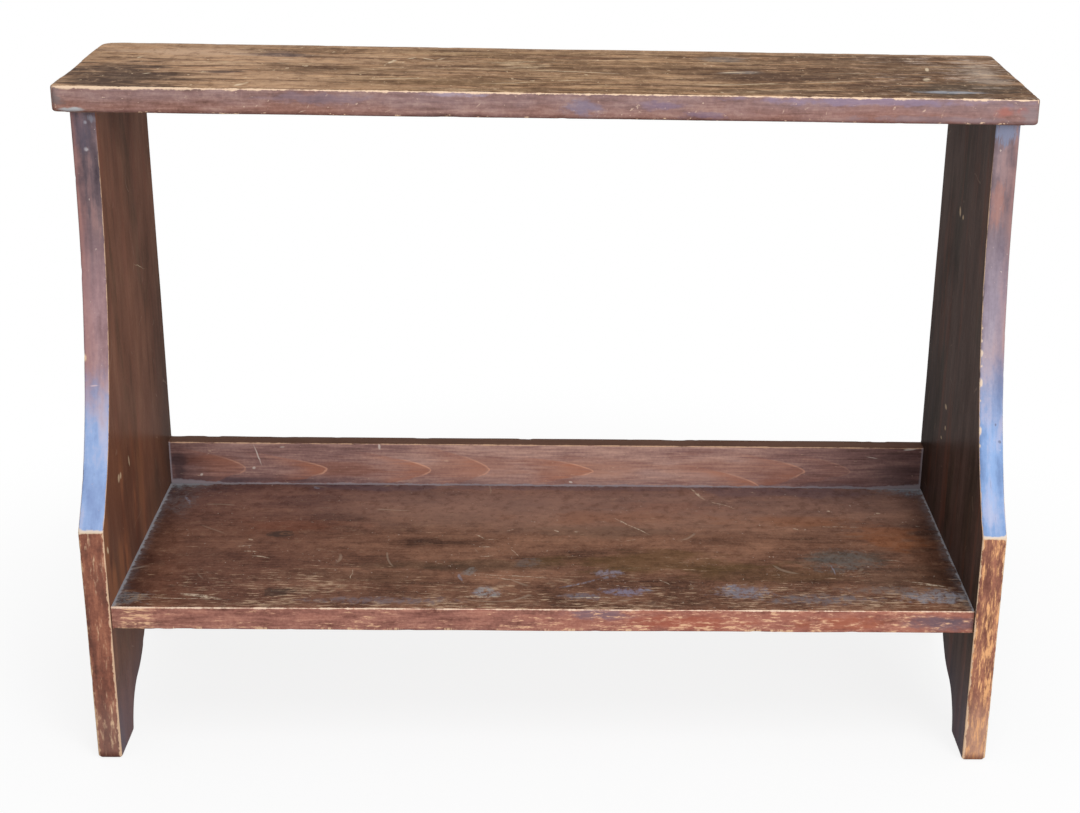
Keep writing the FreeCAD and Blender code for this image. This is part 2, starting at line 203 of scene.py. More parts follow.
def weld(patches: Sequence[np.ndarray], inside: np.ndarray) -> Shell:
    """Join grids of points that share their borders into one shell.

    Args:
        patches: Arrays of shape (rows, columns, 3).
        inside: A point inside the closed surface that every patch turns its back on; one per
            patch, so an array of shape (patches, 3).

    Returns:
        A shell whose vertices are the grids' points with equal places merged, and whose faces
        all point away from their patch's inside point.
    """
    points, quads, start = [], [], 0
    for patch, middle in zip(patches, inside):
        rows, columns = patch.shape[:2]
        number = np.arange(rows * columns).reshape(rows, columns) + start
        face = np.stack([number[:-1, :-1], number[1:, :-1], number[1:, 1:], number[:-1, 1:]], -1)
        face = face.reshape(-1, 4)
        flat = patch.reshape(-1, 3)
        corner = flat[face - start]
        cross = np.cross(corner[:, 2] - corner[:, 0], corner[:, 3] - corner[:, 1])
        outward = np.sum(cross * (corner.mean(axis=1) - middle))
        quads.append(face if outward > 0 else face[:, ::-1])
        points.append(flat)
        start += rows * columns
    places, owner = np.unique(np.round(np.concatenate(points) / 1e-7).astype(np.int64), axis=0,
                              return_inverse=True)
    return Shell(places * 1e-7, owner.reshape(-1)[np.concatenate(quads)], np.zeros(len(places)))


def edge_lines(length: float, pitch: float, arris: float) -> np.ndarray:
    """Places of grid lines along a side, from 0 to its length.

    Three lines at each end divide the quarter turn of the rounded arris into equal angles, one
    more holds the flat beside it, and the rest are a pitch apart.

    Args:
        length: The side's length.
        pitch: About how far apart the lines are.
        arris: The radius of the rounding.

    Returns:
        The places in rising order.
    """
    turn = np.tan(np.radians([45.0, 30.0, 15.0, 0.0]))
    near = np.append(arris * (1.0 - turn), arris * 1.5)
    count = max(int(round((length - 3.0 * arris) / pitch)), 1)
    middle = np.linspace(near[-1], length - near[-1], count + 1)
    return np.concatenate([near[:-1], middle, (length - near[:-1])[::-1]])


def rounded_plank(low: np.ndarray, high: np.ndarray, pitch: np.ndarray, arris: float, ends: bool,
                  extra: Sequence[np.ndarray | None]) -> Shell:
    """A plank along x with rounded edges.

    Every point of the sharp box has a nearest point in the box that is smaller by the arris
    radius.  It moves towards that point by the longest of the three sides between the two over
    their distance, which carries square edges onto round ones.

    Args:
        low: The plank's lowest corner.
        high: Its highest corner.
        pitch: The spacing of grid lines along x, y and z.
        arris: The radius of its edges.
        ends: Whether the edges of its two end faces are rounded too.
        extra: More grid lines for the first axes, or None.

    Returns:
        The plank's shell.
    """
    lines = [low[axis] + edge_lines(high[axis] - low[axis], pitch[axis], arris)
             for axis in range(3)]
    for axis, more in enumerate(extra):
        if more is not None:
            spare = np.abs(lines[axis][:, None] - more).min(axis=1) > pitch[axis] * 0.3
            lines[axis] = np.unique(np.concatenate([lines[axis][spare], more]))
    patches = []
    for axis in range(3):
        across, along = [lines[other] for other in range(3) if other != axis]
        for place in (low[axis], high[axis]):
            first, second = np.meshgrid(across, along, indexing="ij")
            grid = [first, second]
            grid.insert(axis, np.full_like(first, place))
            patches.append(np.stack(grid, -1))
    shell = weld(patches, np.tile((low + high) / 2.0, (6, 1)))
    gaps = np.minimum(shell.points - low, high - shell.points)
    shell.rim = np.sort(gaps, axis=1)[:, 1] if ends else gaps[:, 1:].max(axis=1)
    margin = np.array([arris if ends else 0.0, arris, arris])
    core = np.clip(shell.points, low + margin, high - margin)
    way = shell.points - core
    side = np.abs(way).max(axis=1, keepdims=True)
    shell.points = core + way * side / np.maximum(np.linalg.norm(way, axis=1, keepdims=True), 1e-12)
    return shell


def round_corner(shell: Shell, corner: np.ndarray, inward: np.ndarray, axes: tuple[int, int],
                 radius: float) -> None:
    """Round one upright corner of a shell, seen along the third axis.

    A point within the corner's square moves towards the square's inner corner by the longer of
    its two sides over its distance, which carries the square onto a quarter disc.

    Args:
        shell: What is rounded.
        corner: The corner's place along the two axes.
        inward: The two ways, 1 or -1, that lead into the board.
        axes: Which two of x, y and z the corner turns in.
        radius: The radius of the rounding.
    """
    spot = shell.points[:, axes]
    centre = corner + inward * radius
    way = (spot - centre) * -inward
    near = (way > 0.0).all(axis=1)
    length = np.linalg.norm(way[near], axis=1, keepdims=True)
    shrink = way[near].max(axis=1, keepdims=True) / np.maximum(length, 1e-9)
    shell.points[np.ix_(near, axes)] = centre + (spot[near] - centre) * shrink


# ---- Wear that has a shape ----
@dataclass(frozen=True)
class Wear:
    """How use has worn a board's surface, always inwards.

    Attributes:
        seed: Chooses the random places.
        sag: Depth of the slow unevenness of a hand-planed face.
        rubbed: How far the long edges are rubbed down.
        chips: Depth of the bites out of the long edges.
        dents: How many small dents the faces carry.
        grain: Which axis the wood's fibres follow, 0, 1 or 2.
    """

    seed: int
    sag: float = 0.35 * MM
    rubbed: float = 0.5 * MM
    chips: float = 1.3 * MM
    dents: int = 60
    grain: int = 0

    def apply(self, shell: Shell) -> None:
        """Sink a board's vertices and note where its finish is gone.

        Args:
            shell: The board; its points and bare are changed.
        """
        field3 = Grain3(self.seed)
        stretch = np.array([1.0, 1.0, 1.0])
        stretch[self.grain] = 0.35
        place = shell.points * stretch
        uneven = self.sag * (0.5 + 0.5 * field3.layered(place / 0.045, 2))
        edge = 1.0 - ramped(shell.rim, 0.0, 5.0 * MM)
        bite = ramped(field3.layered(place / 0.009 + 40.0, 3), 0.3, 0.6)
        rub = ramped(field3.layered(place / 0.03 + 90.0, 2), -0.5, 0.5)
        depth = uneven + edge ** 2 * (self.rubbed * rub + self.chips * bite)
        depth += self._dents(shell.points)
        shell.bare = np.clip(edge * (0.25 * rub + 0.8 * bite), 0.0, 1.0)
        shell.sink(depth)

    def _dents(self, points: np.ndarray) -> np.ndarray:
        """Round bowls at random vertices: depth times the smooth step of their distance.

        Args:
            points: The vertices.

        Returns:
            How deep each vertex lies in them.
        """
        draw = np.random.default_rng(self.seed)
        depth = np.zeros(len(points))
        for middle in points[draw.integers(0, len(points), self.dents)]:
            radius, deep = draw.uniform(3.0, 9.0) * MM, draw.uniform(0.15, 0.5) * MM
            away = np.linalg.norm(points - middle, axis=1)
            depth = np.maximum(depth, deep * (1.0 - ramped(away, 0.2 * radius, radius)))
        return depth


def sink_heads(shell: Shell, heads: np.ndarray, outward: np.ndarray, half: np.ndarray,
               deep: float = 0.9 * MM) -> None:
    """Press a flat-bottomed recess into a face round each nail head.

    A vertex's share is the larger of its offsets from the head's middle over the head's half
    sizes.  The recess has its whole depth up to a share of 1.15 and ends at 1.7.

    Args:
        shell: The board.
        heads: The heads' middles on the face, one row each.
        outward: The way the nailed face looks.
        half: The heads' half sizes; large along outward.
        deep: The recess's depth.
    """
    facing = shell.normals() @ outward > 0.9
    for head in heads:
        share = (np.abs(shell.points - head) / half).max(axis=1)
        hollow = deep * (1.0 - ramped(share, 1.15, 1.7)) * facing
        shell.points = shell.points - outward * hollow[:, None]


# ---- Shader maths ----
def joined(kind: str, flip: bool = False) -> Callable[..., "Wire"]:
    """A method of Wire that joins it and others by a Math node, in turned order if flip.

    Args:
        kind: The node's operation.
        flip: Whether the order is turned.

    Returns:
        The method.
    """
    def method(self: "Wire", *others: Any) -> "Wire":
        """The node's output."""
        given = [self, *others]
        return self.graph.math(kind, *(given[::-1] if flip else given))
    return method


@dataclass(frozen=True)
class Wire:
    """One output of a node, which Python's operators join with others and with numbers."""

    graph: "Graph"
    end: Any

    __add__ = __radd__ = joined("ADD")
    __sub__ = joined("SUBTRACT")
    __rsub__ = joined("SUBTRACT", flip=True)
    __mul__ = __rmul__ = joined("MULTIPLY")
    __truediv__ = joined("DIVIDE")
    __pow__ = joined("POWER")
    absolute = joined("ABSOLUTE")
    at_least = joined("MAXIMUM")
    at_most = joined("MINIMUM")
    fraction = joined("FRACT")

    def __neg__(self) -> "Wire":
        """The opposite number."""
        return self * -1.0

    def clipped(self) -> "Wire":
        """Held between 0 and 1."""
        return self.at_least(0.0).at_most(1.0)

    def step(self, low: float, high: float) -> "Wire":
        """The smooth step from 0 at one number to 1 at another.

        Args:
            low: Where it is 0.
            high: Where it is 1; it may be the smaller of the two.

        Returns:
            The step.
        """
        settings = {"interpolation_type": "SMOOTHSTEP", "clamp": False}
        if low <= high:
            node = self.graph.add("ShaderNodeMapRange", settings,
                                  {"Value": self, "From Min": low, "From Max": high})
            return self.graph.wire(node, "Result")
        return 1.0 - self.step(high, low)


class Graph:
    """The node tree of one material or world, built by expressions."""

    def __init__(self, owner: bpy.types.Material | bpy.types.World) -> None:
        """Empty the owner's tree.

        Args:
            owner: What the tree belongs to.
        """
        self.owner = owner
        owner.use_nodes = True
        self.tree = owner.node_tree
        self.tree.nodes.clear()

    @cached_property
    def here(self) -> Wire:
        """The point's place on the object, in metres."""
        return self.wire(self.add("ShaderNodeTexCoord"), "Object")

    def add(self, kind: str, settings: dict[str, Any] | None = None,
            inputs: dict[Any, Any] | None = None) -> bpy.types.Node:
        """Add a node.

        Args:
            kind: Its type, such as ShaderNodeMath.
            settings: Properties set before its sockets, and a ramp's stops under "stops".
            inputs: Values or wires for its sockets, by name or number.

        Returns:
            The node.
        """
        node = self.tree.nodes.new(kind)
        for key, value in (settings or {}).items():
            if key == "stops":
                self._set_stops(node.color_ramp, value)
            else:
                setattr(node, key, value)
        for key, value in (inputs or {}).items():
            if isinstance(value, Wire):
                self.tree.links.new(value.end, node.inputs[key])
            else:
                node.inputs[key].default_value = value
        return node

    @staticmethod
    def _set_stops(ramp: bpy.types.ColorRamp, stops: Sequence[tuple[float, Triple]]) -> None:
        """Give a ramp its stops, pairs of place and colour.

        Args:
            ramp: The ramp.
            stops: The pairs, from low to high.
        """
        while len(ramp.elements) < len(stops):
            ramp.elements.new(0.5)
        for element, (place, colour) in zip(ramp.elements, stops):
            element.position, element.color = place, (*colour, 1.0)

    def wire(self, node: bpy.types.Node, output: Any) -> Wire:
        """A node's output as a wire."""
        return Wire(self, node.outputs[output])

    def math(self, kind: str, *values: Any) -> Wire:
        """A Math node on wires or numbers."""
        node = self.add("ShaderNodeMath", {"operation": kind}, dict(enumerate(values)))
        return self.wire(node, 0)

    def vector(self, x: Any, y: Any, z: Any) -> Wire:
        """A vector of three wires or numbers."""
        return self.wire(self.add("ShaderNodeCombineXYZ", None, {0: x, 1: y, 2: z}), 0)

    def place(self) -> tuple[Wire, Wire, Wire]:
        """The point's x, y and z on the object, in metres."""
        parts = self.add("ShaderNodeSeparateXYZ", None, {0: self.here})
        return tuple(self.wire(parts, axis) for axis in range(3))

    def attribute(self, name: str) -> Wire:
        """A number stored on the mesh."""
        node = self.add("ShaderNodeAttribute", {"attribute_name": name})
        return self.wire(node, "Fac")

    def facing(self) -> tuple[Wire, Wire, Wire]:
        """The x, y and z of the way that the surface looks.

        Returns:
            The three parts.
        """
        node = self.add("ShaderNodeAttribute", {"attribute_name": "facing"})
        parts = self.add("ShaderNodeSeparateXYZ", None, {0: self.wire(node, "Vector")})
        return tuple(self.wire(parts, axis) for axis in range(3))

    def shown(self) -> Wire:
        """1 to the camera, in reflections and through glass, and 0 to light that is gathered.

        Returns:
            1 or 0.
        """
        path = self.add("ShaderNodeLightPath")
        camera, glossy, through = (self.wire(path, f"Is {ray} Ray")
                                   for ray in ("Camera", "Glossy", "Transmission"))
        return camera.at_least(glossy).at_least(through)

    def noise(self, cells: Triple, seed: float, detail: float = 2.0, rough: float = 0.5,
              turn: Triple = (0.0, 0.0, 0.0)) -> Wire:
        """Noise round 0.5 in the bench's frame.

        Args:
            cells: The lengths of its cells along x, y and z, in metres.
            seed: Shifts it, so that two noises differ.
            detail: How many finer layers it has.
            rough: How strong each finer layer is.
            turn: The cells' turn about x, y and z in degrees.

        Returns:
            The noise.
        """
        local = self.add("ShaderNodeMapping", {"vector_type": "TEXTURE"},
                         {"Vector": self.here, "Scale": cells,
                          "Location": (0.37 * seed, 0.23 * seed, 0.71 * seed),
                          "Rotation": tuple(math.radians(angle) for angle in turn)})
        node = self.add("ShaderNodeTexNoise", None,
                        {"Vector": self.wire(local, 0), "Scale": 1.0, "Detail": detail,
                         "Roughness": rough})
        return self.wire(node, "Fac")

    def arrow(self, kind: str, output: int, *values: Any) -> Wire:
        """A Vector Math node on wires or triples; output 1 is its number."""
        return self.wire(self.add("ShaderNodeVectorMath", {"operation": kind},
                                  dict(enumerate(values))), output)

    def oval(self, flat: Wire, centre: tuple[float, float], half: tuple[float, float],
             turn: float = 0.0) -> Wire:
        """How far a place on a face is from an oval's centre: 1 on the oval's outline.

        Args:
            flat: The place as a vector of two coordinates on the face.
            centre: The oval's centre.
            half: Its two half lengths.
            turn: Its turn in degrees.

        Returns:
            The length of the place's vector in the oval's own turned and scaled frame.
        """
        if not turn:
            local = self.arrow("MULTIPLY_ADD", 0, flat, (1.0 / half[0], 1.0 / half[1], 0.0),
                               (-centre[0] / half[0], -centre[1] / half[1], 0.0))
            return self.arrow("LENGTH", 1, local)
        cos, sin = math.cos(math.radians(turn)), math.sin(math.radians(turn))
        away = self.arrow("SUBTRACT", 0, flat, (*centre, 0.0))
        ahead = self.arrow("DOT_PRODUCT", 1, away, (cos / half[0], sin / half[0], 0.0))
        aside = self.arrow("DOT_PRODUCT", 1, away, (-sin / half[1], cos / half[1], 0.0))
        return self.arrow("LENGTH", 1, self.vector(ahead, aside, 0.0))

    def bent(self, u: Wire, v: Wire, cell: float, reach: float, seed: float) -> Wire:
        """A place on a face, carried off a little, so that straight marks curve.

        Args:
            u: Its first coordinate.
            v: Its second one.
            cell: The length of one sway.
            reach: About how far it is carried off.
            seed: Chooses the sway.

        Returns:
            A vector of the two new coordinates.
        """
        sway = self.noise((cell, cell, cell), seed) - 0.5
        lift = self.noise((cell, cell, cell), seed + 9.0) - 0.5
        return self.vector(u + sway * (2.0 * reach), v + lift * (2.0 * reach), 0.0)

    def scratches(self, flat: Wire, lines: Sequence["Scratch"]) -> Wire:
        """Long thin ovals, each laid from a scratch's start to its end.

        Args:
            flat: The place as a vector of two coordinates on the face.
            lines: The scratches.

        Returns:
            1 inside any of the ovals and 0 outside; weak ones are narrower.
        """
        nearest: Wire | None = None
        for line in lines:
            (x0, y0), (x1, y1) = line.start, line.end
            centre = ((x0 + x1) / 2.0 * MM, (y0 + y1) / 2.0 * MM)
            half = (math.hypot(x1 - x0, y1 - y0) / 2.0 * MM, line.wide / 2.0 * MM)
            turn = math.degrees(math.atan2(y1 - y0, x1 - x0))
            reach = self.oval(flat, centre, half, turn)
            if line.strong < 1.0:
                reach = reach + (1.0 - line.strong) * 0.7
            nearest = reach if nearest is None else nearest.at_most(reach)
        return nearest.step(1.2, 0.5)

    def specks(self, cells: Triple, level: float, seed: float) -> Wire:
        """Irregular specks, 1 where a rough noise rises over a level and 0 elsewhere."""
        return self.noise(cells, seed, 3.0, 0.62).step(level, level + 0.05)

    def hairs(self, cells: Triple, wide: float, level: float, seed: float,
              turn: Triple = (0.0, 0.0, 0.0)) -> Wire:
        """Thin curved lines where a smooth noise passes its middle, kept where another is high.

        Args:
            cells: The smooth noise's cells; the lines run along their longer sides.
            wide: The lines' usual width.
            level: The higher it is, the fewer the lines are.
            seed: Chooses both noises.
            turn: The cells' turn about x, y and z in degrees.

        Returns:
            1 on a line and 0 elsewhere.
        """
        away = (self.noise(cells, seed, 0.0, 0.5, turn) - 0.5).absolute()
        short = tuple(cell * 0.6 for cell in cells)
        kept = self.noise(short, seed + 5.0, 1.0, 0.5, turn).step(level, level + 0.05)
        return (away * (min(cells) / (1.2 * wide))).step(0.7, 0.25) * kept

    def colour(self, value: Colour) -> tuple[float, float, float, float]:
        """A display colour as a socket takes it: linear, by the sRGB curve.

        Args:
            value: The display colour.

        Returns:
            Red, green, blue and a full alpha.
        """
        share = [int(value[at:at + 2], 16) / 255.0 for at in (0, 2, 4)]
        linear = [part / 12.92 if part <= 0.04045 else ((part + 0.055) / 1.055) ** 2.4
                  for part in share]
        return (*linear, 1.0)

    def ramp(self, value: Wire, stops: Sequence[tuple[float, Colour]]) -> Wire:
        """A colour from a ramp of display colours."""
        linear = [(place, self.colour(colour)[:3]) for place, colour in stops]
        return self.wire(self.add("ShaderNodeValToRGB", {"stops": linear}, {0: value}), "Color")

    def blend(self, amount: Any, first: Any, second: Any, kind: str = "MIX") -> Wire:
        """Mix two colours by an amount.

        Args:
            amount: 0 for the first colour and 1 for the second.
            first: One colour.
            second: The other.
            kind: How the second is laid on the first.

        Returns:
            The mix.
        """
        node = self.add("ShaderNodeMix", {"data_type": "RGBA", "blend_type": kind},
                        {0: amount, 6: first, 7: second})
        return self.wire(node, 2)

    def bump(self, height: Wire, strength: float, distance: float) -> Wire:
        """A normal bent by a height.

        Args:
            height: The height.
            strength: How strong the effect is.
            distance: What a height of 1 stands for, in metres.

        Returns:
            The normal.
        """
        node = self.add("ShaderNodeBump", None,
                        {"Height": height, "Strength": strength, "Distance": distance})
        return self.wire(node, "Normal")

    def finish(self, colour: Any, rough: Any, normal: Wire | None = None, metal: float = 0.0,
               coat: Any = 0.0, coat_rough: float = 0.3, gloss: float = 0.5) -> bpy.types.Material:
        """Close a material's graph with its surface shader.

        Args:
            colour: The base colour.
            rough: The roughness.
            normal: The bent normal, if any.
            metal: How metallic it is.
            coat: The weight of the varnish.
            coat_rough: The varnish's roughness.
            gloss: The strength of reflection under the varnish.

        Returns:
            The material.
        """
        inputs = {"Base Color": colour, "Roughness": rough, "Metallic": metal,
                  "Coat Weight": coat, "Coat Roughness": coat_rough,
                  "Specular IOR Level": gloss}
        if normal is not None:
            inputs["Normal"] = normal
        shader = self.add("ShaderNodeBsdfPrincipled", None, inputs)
        self.add("ShaderNodeOutputMaterial", None, {"Surface": self.wire(shader, "BSDF")})
        return self.owner


# ---- Finishes ----
class Lay(Enum):
    """How a board lies: its fibres' way, then its width's, then its thickness's."""

    FLAT = "xyz"
    UPRIGHT = "zyx"
    ON_EDGE = "xzy"


@dataclass(frozen=True)
class Scratch:
    """A thin mark on a face, in millimetres along the face's two coordinates."""

    start: tuple[float, float]
    end: tuple[float, float]
    wide: float = 1.4
    strong: float = 1.0


@dataclass(frozen=True)
class Blot:
    """A soft-edged patch on a face, in millimetres.

    Attributes:
        centre: Its middle.
        half: Its half lengths.
        colour: Its colour.
        strong: How much of the colour it takes.
        ragged: How much noise eats its outline.
        turn: Its turn in degrees.
    """

    centre: tuple[float, float]
    half: tuple[float, float]
    colour: Colour
    strong: float = 0.7
    ragged: float = 0.9
    turn: float = 0.0


def scratched(*rows: tuple[float, ...]) -> tuple[Scratch, ...]:
    """Scratches from rows of start, end and, where they aren't the usual ones, width and strength."""
    return tuple(Scratch(row[:2], row[2:4], *row[4:]) for row in rows)


def blotted(*rows: tuple[Any, ...]) -> tuple[Blot, ...]:
    """Patches from rows of centre, half lengths, colour and, where unusual, the rest in order."""
    return tuple(Blot(row[:2], row[2:4], *row[4:]) for row in rows)


@dataclass(frozen=True)
class Growth:
    """How a board was sawn from the log, in metres.

    Attributes:
        pith: The log's middle line, across the board and through it.
        ring: The spacing of the growth rings.
        taper: How fast the pith line falls away along the board.
        wander: How far the pith line strays.
        curl: How far the rings stray from round.
    """

    pith: tuple[float, float]
    ring: float = 0.004
    taper: float = 0.03
    wander: float = 0.012
    curl: float = 0.01


@dataclass
class Spot:
    """What a finish knows of the point that it colours.

    Attributes:
        x: Its place along the bench.
        y: Its place from front to back.
        z: Its height.
        ahead: How much the surface looks to the bench's front.
        front: 1 on faces that look to the front.
        up: 1 on faces that look up.
        rim: Its distance from the nearest long edge.
        bare: How far wear has gone there.
        grit: Fine even noise.
    """

    x: Wire
    y: Wire
    z: Wire
    ahead: Wire
    front: Wire
    up: Wire
    rim: Wire
    bare: Wire
    grit: Wire


class Coats:
    """A finish under the brush: colour, roughness, gloss and height, painted layer on layer."""

    def __init__(self, graph: Graph, spot: Spot, colour: Wire, rough: Wire, gloss: Wire,
                 height: Wire) -> None:
        """Start from the stained wood at a spot."""
        self.graph, self.spot, self.colour = graph, spot, colour
        self.rough, self.gloss, self.height = rough, gloss, height

    def ground(self, mask: Wire, tone: Wire, dark: Colour, usual: Colour, pale: Colour) -> None:
        """Lay a ground whose colour follows a tone, over what is there."""
        colour = self.graph.ramp(tone, ((0.08, dark), (0.5, usual), (0.92, pale)))
        self.colour = self.graph.blend(mask, self.colour, colour)

    def paint(self, mask: Wire, colour: Colour, matt: bool = False, lift: float = 0.0) -> None:
        """Lay a colour over what is there.

        Args:
            mask: 1 where it lies.
            colour: The colour.
            matt: Whether it takes the gloss off.
            lift: How far it raises the surface.
        """
        self.colour = self.graph.blend(mask, self.colour, self.graph.colour(colour))
        if matt:
            self.rough = self.rough + (0.7 - self.rough) * mask
            self.gloss = self.gloss * (1.0 - mask)
        if lift:
            self.height = self.height + mask * lift

    def paints(self, face: Wire, *rows: tuple[Wire, Any, Colour]) -> None:
        """Lay colours in turn on one face, from rows of mask, strength and colour."""
        for mask, strong, colour in rows:
            self.paint(mask * face * strong, colour)

    def tint(self, mask: Wire, colour: Colour) -> None:
        """Darken by a colour where the mask is 1, so that the grain below still shows."""
        self.colour = self.graph.blend(mask, self.colour, self.graph.colour(colour), "MULTIPLY")

    def blots(self, flat: Wire, ragged: Wire, blots: Sequence[Blot], face: Wire,
              soft: float = 0.4) -> None:
        """Lay patches on one face.

        Args:
            flat: The place as a vector of two coordinates on the face.
            ragged: The noise that eats their outlines.
            blots: The patches.
            face: 1 on the face.
            soft: Half the width of their edges, as a share of their size.
        """
        shares = dict.fromkeys(blot.ragged for blot in blots)
        eaten = {share: (ragged - 0.5) * (share * 3.0) for share in shares}
        for blot in blots:
            centre = (blot.centre[0] * MM, blot.centre[1] * MM)
            reach = self.graph.oval(flat, centre, (blot.half[0] * MM, blot.half[1] * MM), blot.turn)
            mask = (reach + eaten[blot.ragged]).step(0.75 + soft, 0.75 - soft) * face
            self.paint(mask * blot.strong, blot.colour)


@dataclass(frozen=True)
class OldStain:
    """Old red-brown stain and varnish on pine.

    Attributes:
        growth: The board's growth rings.
        lay: How the board lies.
        deep: The stain's darkest colour.
        warm: Its usual colour.
        light: Its colour where it is thin.
        late: Its colour on the hard late wood.
        bare: The colour of wood that the stain has left.
        figure: How clearly the rings show.
        contrast: How far the tone strays.
        streaky: How much of that follows the fibres rather than lying in clouds.
        gloss: The weight of the old varnish.
        seed: Moves the random parts.
    """

    growth: Growth
    lay: Lay
    deep: Colour
    warm: Colour
    light: Colour
    late: Colour
    bare: Colour = "e2ba8c"
    figure: float = 0.4
    contrast: float = 1.0
    streaky: float = 1.0
    gloss: float = 0.1
    seed: float = 0.0

    def spot(self, graph: Graph) -> Spot:
        """Read where the point is, how it looks and how worn it is.

        Args:
            graph: The material's graph.

        Returns:
            The point.
        """
        x, y, z = graph.place()
        _, back, up = graph.facing()
        ahead = -back
        return Spot(x, y, z, ahead, ahead.step(0.35, 0.65), up.step(0.5, 0.85),
                    graph.attribute("rim"), graph.attribute("bare"),
                    graph.noise((0.0035, 0.0035, 0.0035), self.seed, 3.0, 0.65) - 0.5)

    def streaks(self, graph: Graph, long: float, fine: float, seed: float, detail: float = 3.0,
                rough: float = 0.55) -> Wire:
        """Noise drawn out along the fibres.

        Args:
            graph: The material's graph.
            long: The length of its cells along the fibres, in metres.
            fine: Their width.
            seed: Shifts it, on top of the finish's own seed.
            detail: How many finer layers it has.
            rough: How strong each finer layer is.

        Returns:
            The noise.
        """
        cells = [fine, fine, fine]
        cells["xyz".index(self.lay.value[0])] = long
        return graph.noise(tuple(cells), self.seed + seed, detail, rough)

    def rings(self, graph: Graph, spot: Spot) -> Wire:
        """Late wood, 1 on a ring's hard line and 0 between.

        The ring number is the distance from the wandering pith line over the ring spacing.  Its
        fraction rises slowly and drops at once, as the wood's colour does from spring to spring.

        Args:
            graph: The material's graph.
            spot: The point.

        Returns:
            The late wood.
        """
        growth, axes = self.growth, {"x": spot.x, "y": spot.y, "z": spot.z}
        along, across, through = (axes[axis] for axis in self.lay.value)
        sway = self.streaks(graph, 0.45, FAR, 1.0, 1.0) - 0.5
        curl = self.streaks(graph, 0.14, 0.045, 2.0) - 0.5
        aside = across - growth.pith[0] - sway * growth.wander
        below = through - growth.pith[1] - along * growth.taper
        reach = graph.math("SQRT", aside * aside + below * below)
        share = ((reach + curl * growth.curl) / growth.ring).fraction()
        return share.step(0.3, 0.95) * share.step(1.0, 0.95)

    def wood(self, graph: Graph, spot: Spot) -> Coats:
        """The stained wood before its marks: fibres, streaks and bands of unequal stain.

        Args:
            graph: The material's graph.
            spot: The point.

        Returns:
            The coats, with nothing painted on them yet.
        """
        late = self.rings(graph, spot)
        fibre = self.streaks(graph, 0.045, 0.0013, 3.0, 3.0, 0.65)
        streak = self.streaks(graph, 0.12, 0.0048, 20.0, 5.0, 0.65)
        band = self.streaks(graph, 0.26, 0.02, 30.0, 4.0, 0.6)
        mottle = self.streaks(graph, 0.1, 0.05, 40.0, 5.0, 0.62)
        stray = (mottle - 0.5) * (3.0 - 1.6 * self.streaky) + (fibre - 0.5) * 0.6 + spot.grit * 0.7 \
            + ((band - 0.5) * 1.4 + (streak - 0.5) * 1.2) * self.streaky
        colour = graph.ramp(0.5 + stray * self.contrast,
                            ((0.05, self.deep), (0.5, self.warm), (0.95, self.light)))
        colour = graph.blend(late * self.figure, colour, graph.colour(self.late))
        return Coats(graph, spot, colour, 0.42 + (mottle - 0.5) * 0.25,
                     (self.gloss * (0.5 + mottle)).clipped(), fibre * 0.6 + late * 0.3)

    def edges(self, coats: Coats) -> None:
        """Bare wood where the edges are rubbed and chipped.

        Args:
            coats: What is painted.
        """
        graph, spot = coats.graph, coats.spot
        rough = self.streaks(graph, 0.008, 0.0024, 60.0, 3.0, 0.62)
        patchy = self.streaks(graph, 0.05, 0.03, 65.0, 2.0, 0.6)
        arris = spot.rim.step(0.0024, 0.0008)
        thin = (arris * 0.38 + (patchy - 0.5) * 1.1 + (rough - 0.5) * 0.9).step(0.42, 0.56)
        deep = (spot.bare + (rough - 0.5) * 1.2).step(0.62, 0.78)
        coats.paint((thin * arris).at_least(deep) * 0.85, self.bare, matt=True, lift=-0.8)

    def marks(self, coats: Coats) -> None:
        """What is particular to one board."""

    def material(self, name: str) -> bpy.types.Material:
        """Build the finish.

        Args:
            name: The material's name.

        Returns:
            The material.
        """
        graph = Graph(bpy.data.materials.new(name))
        spot = self.spot(graph)
        coats = self.wood(graph, spot)
        self.edges(coats)
        self.marks(coats)
        return graph.finish(coats.colour, coats.rough, graph.bump(coats.height, 0.35, 0.0005),
                            coat=coats.gloss, coat_rough=0.3, gloss=0.0)


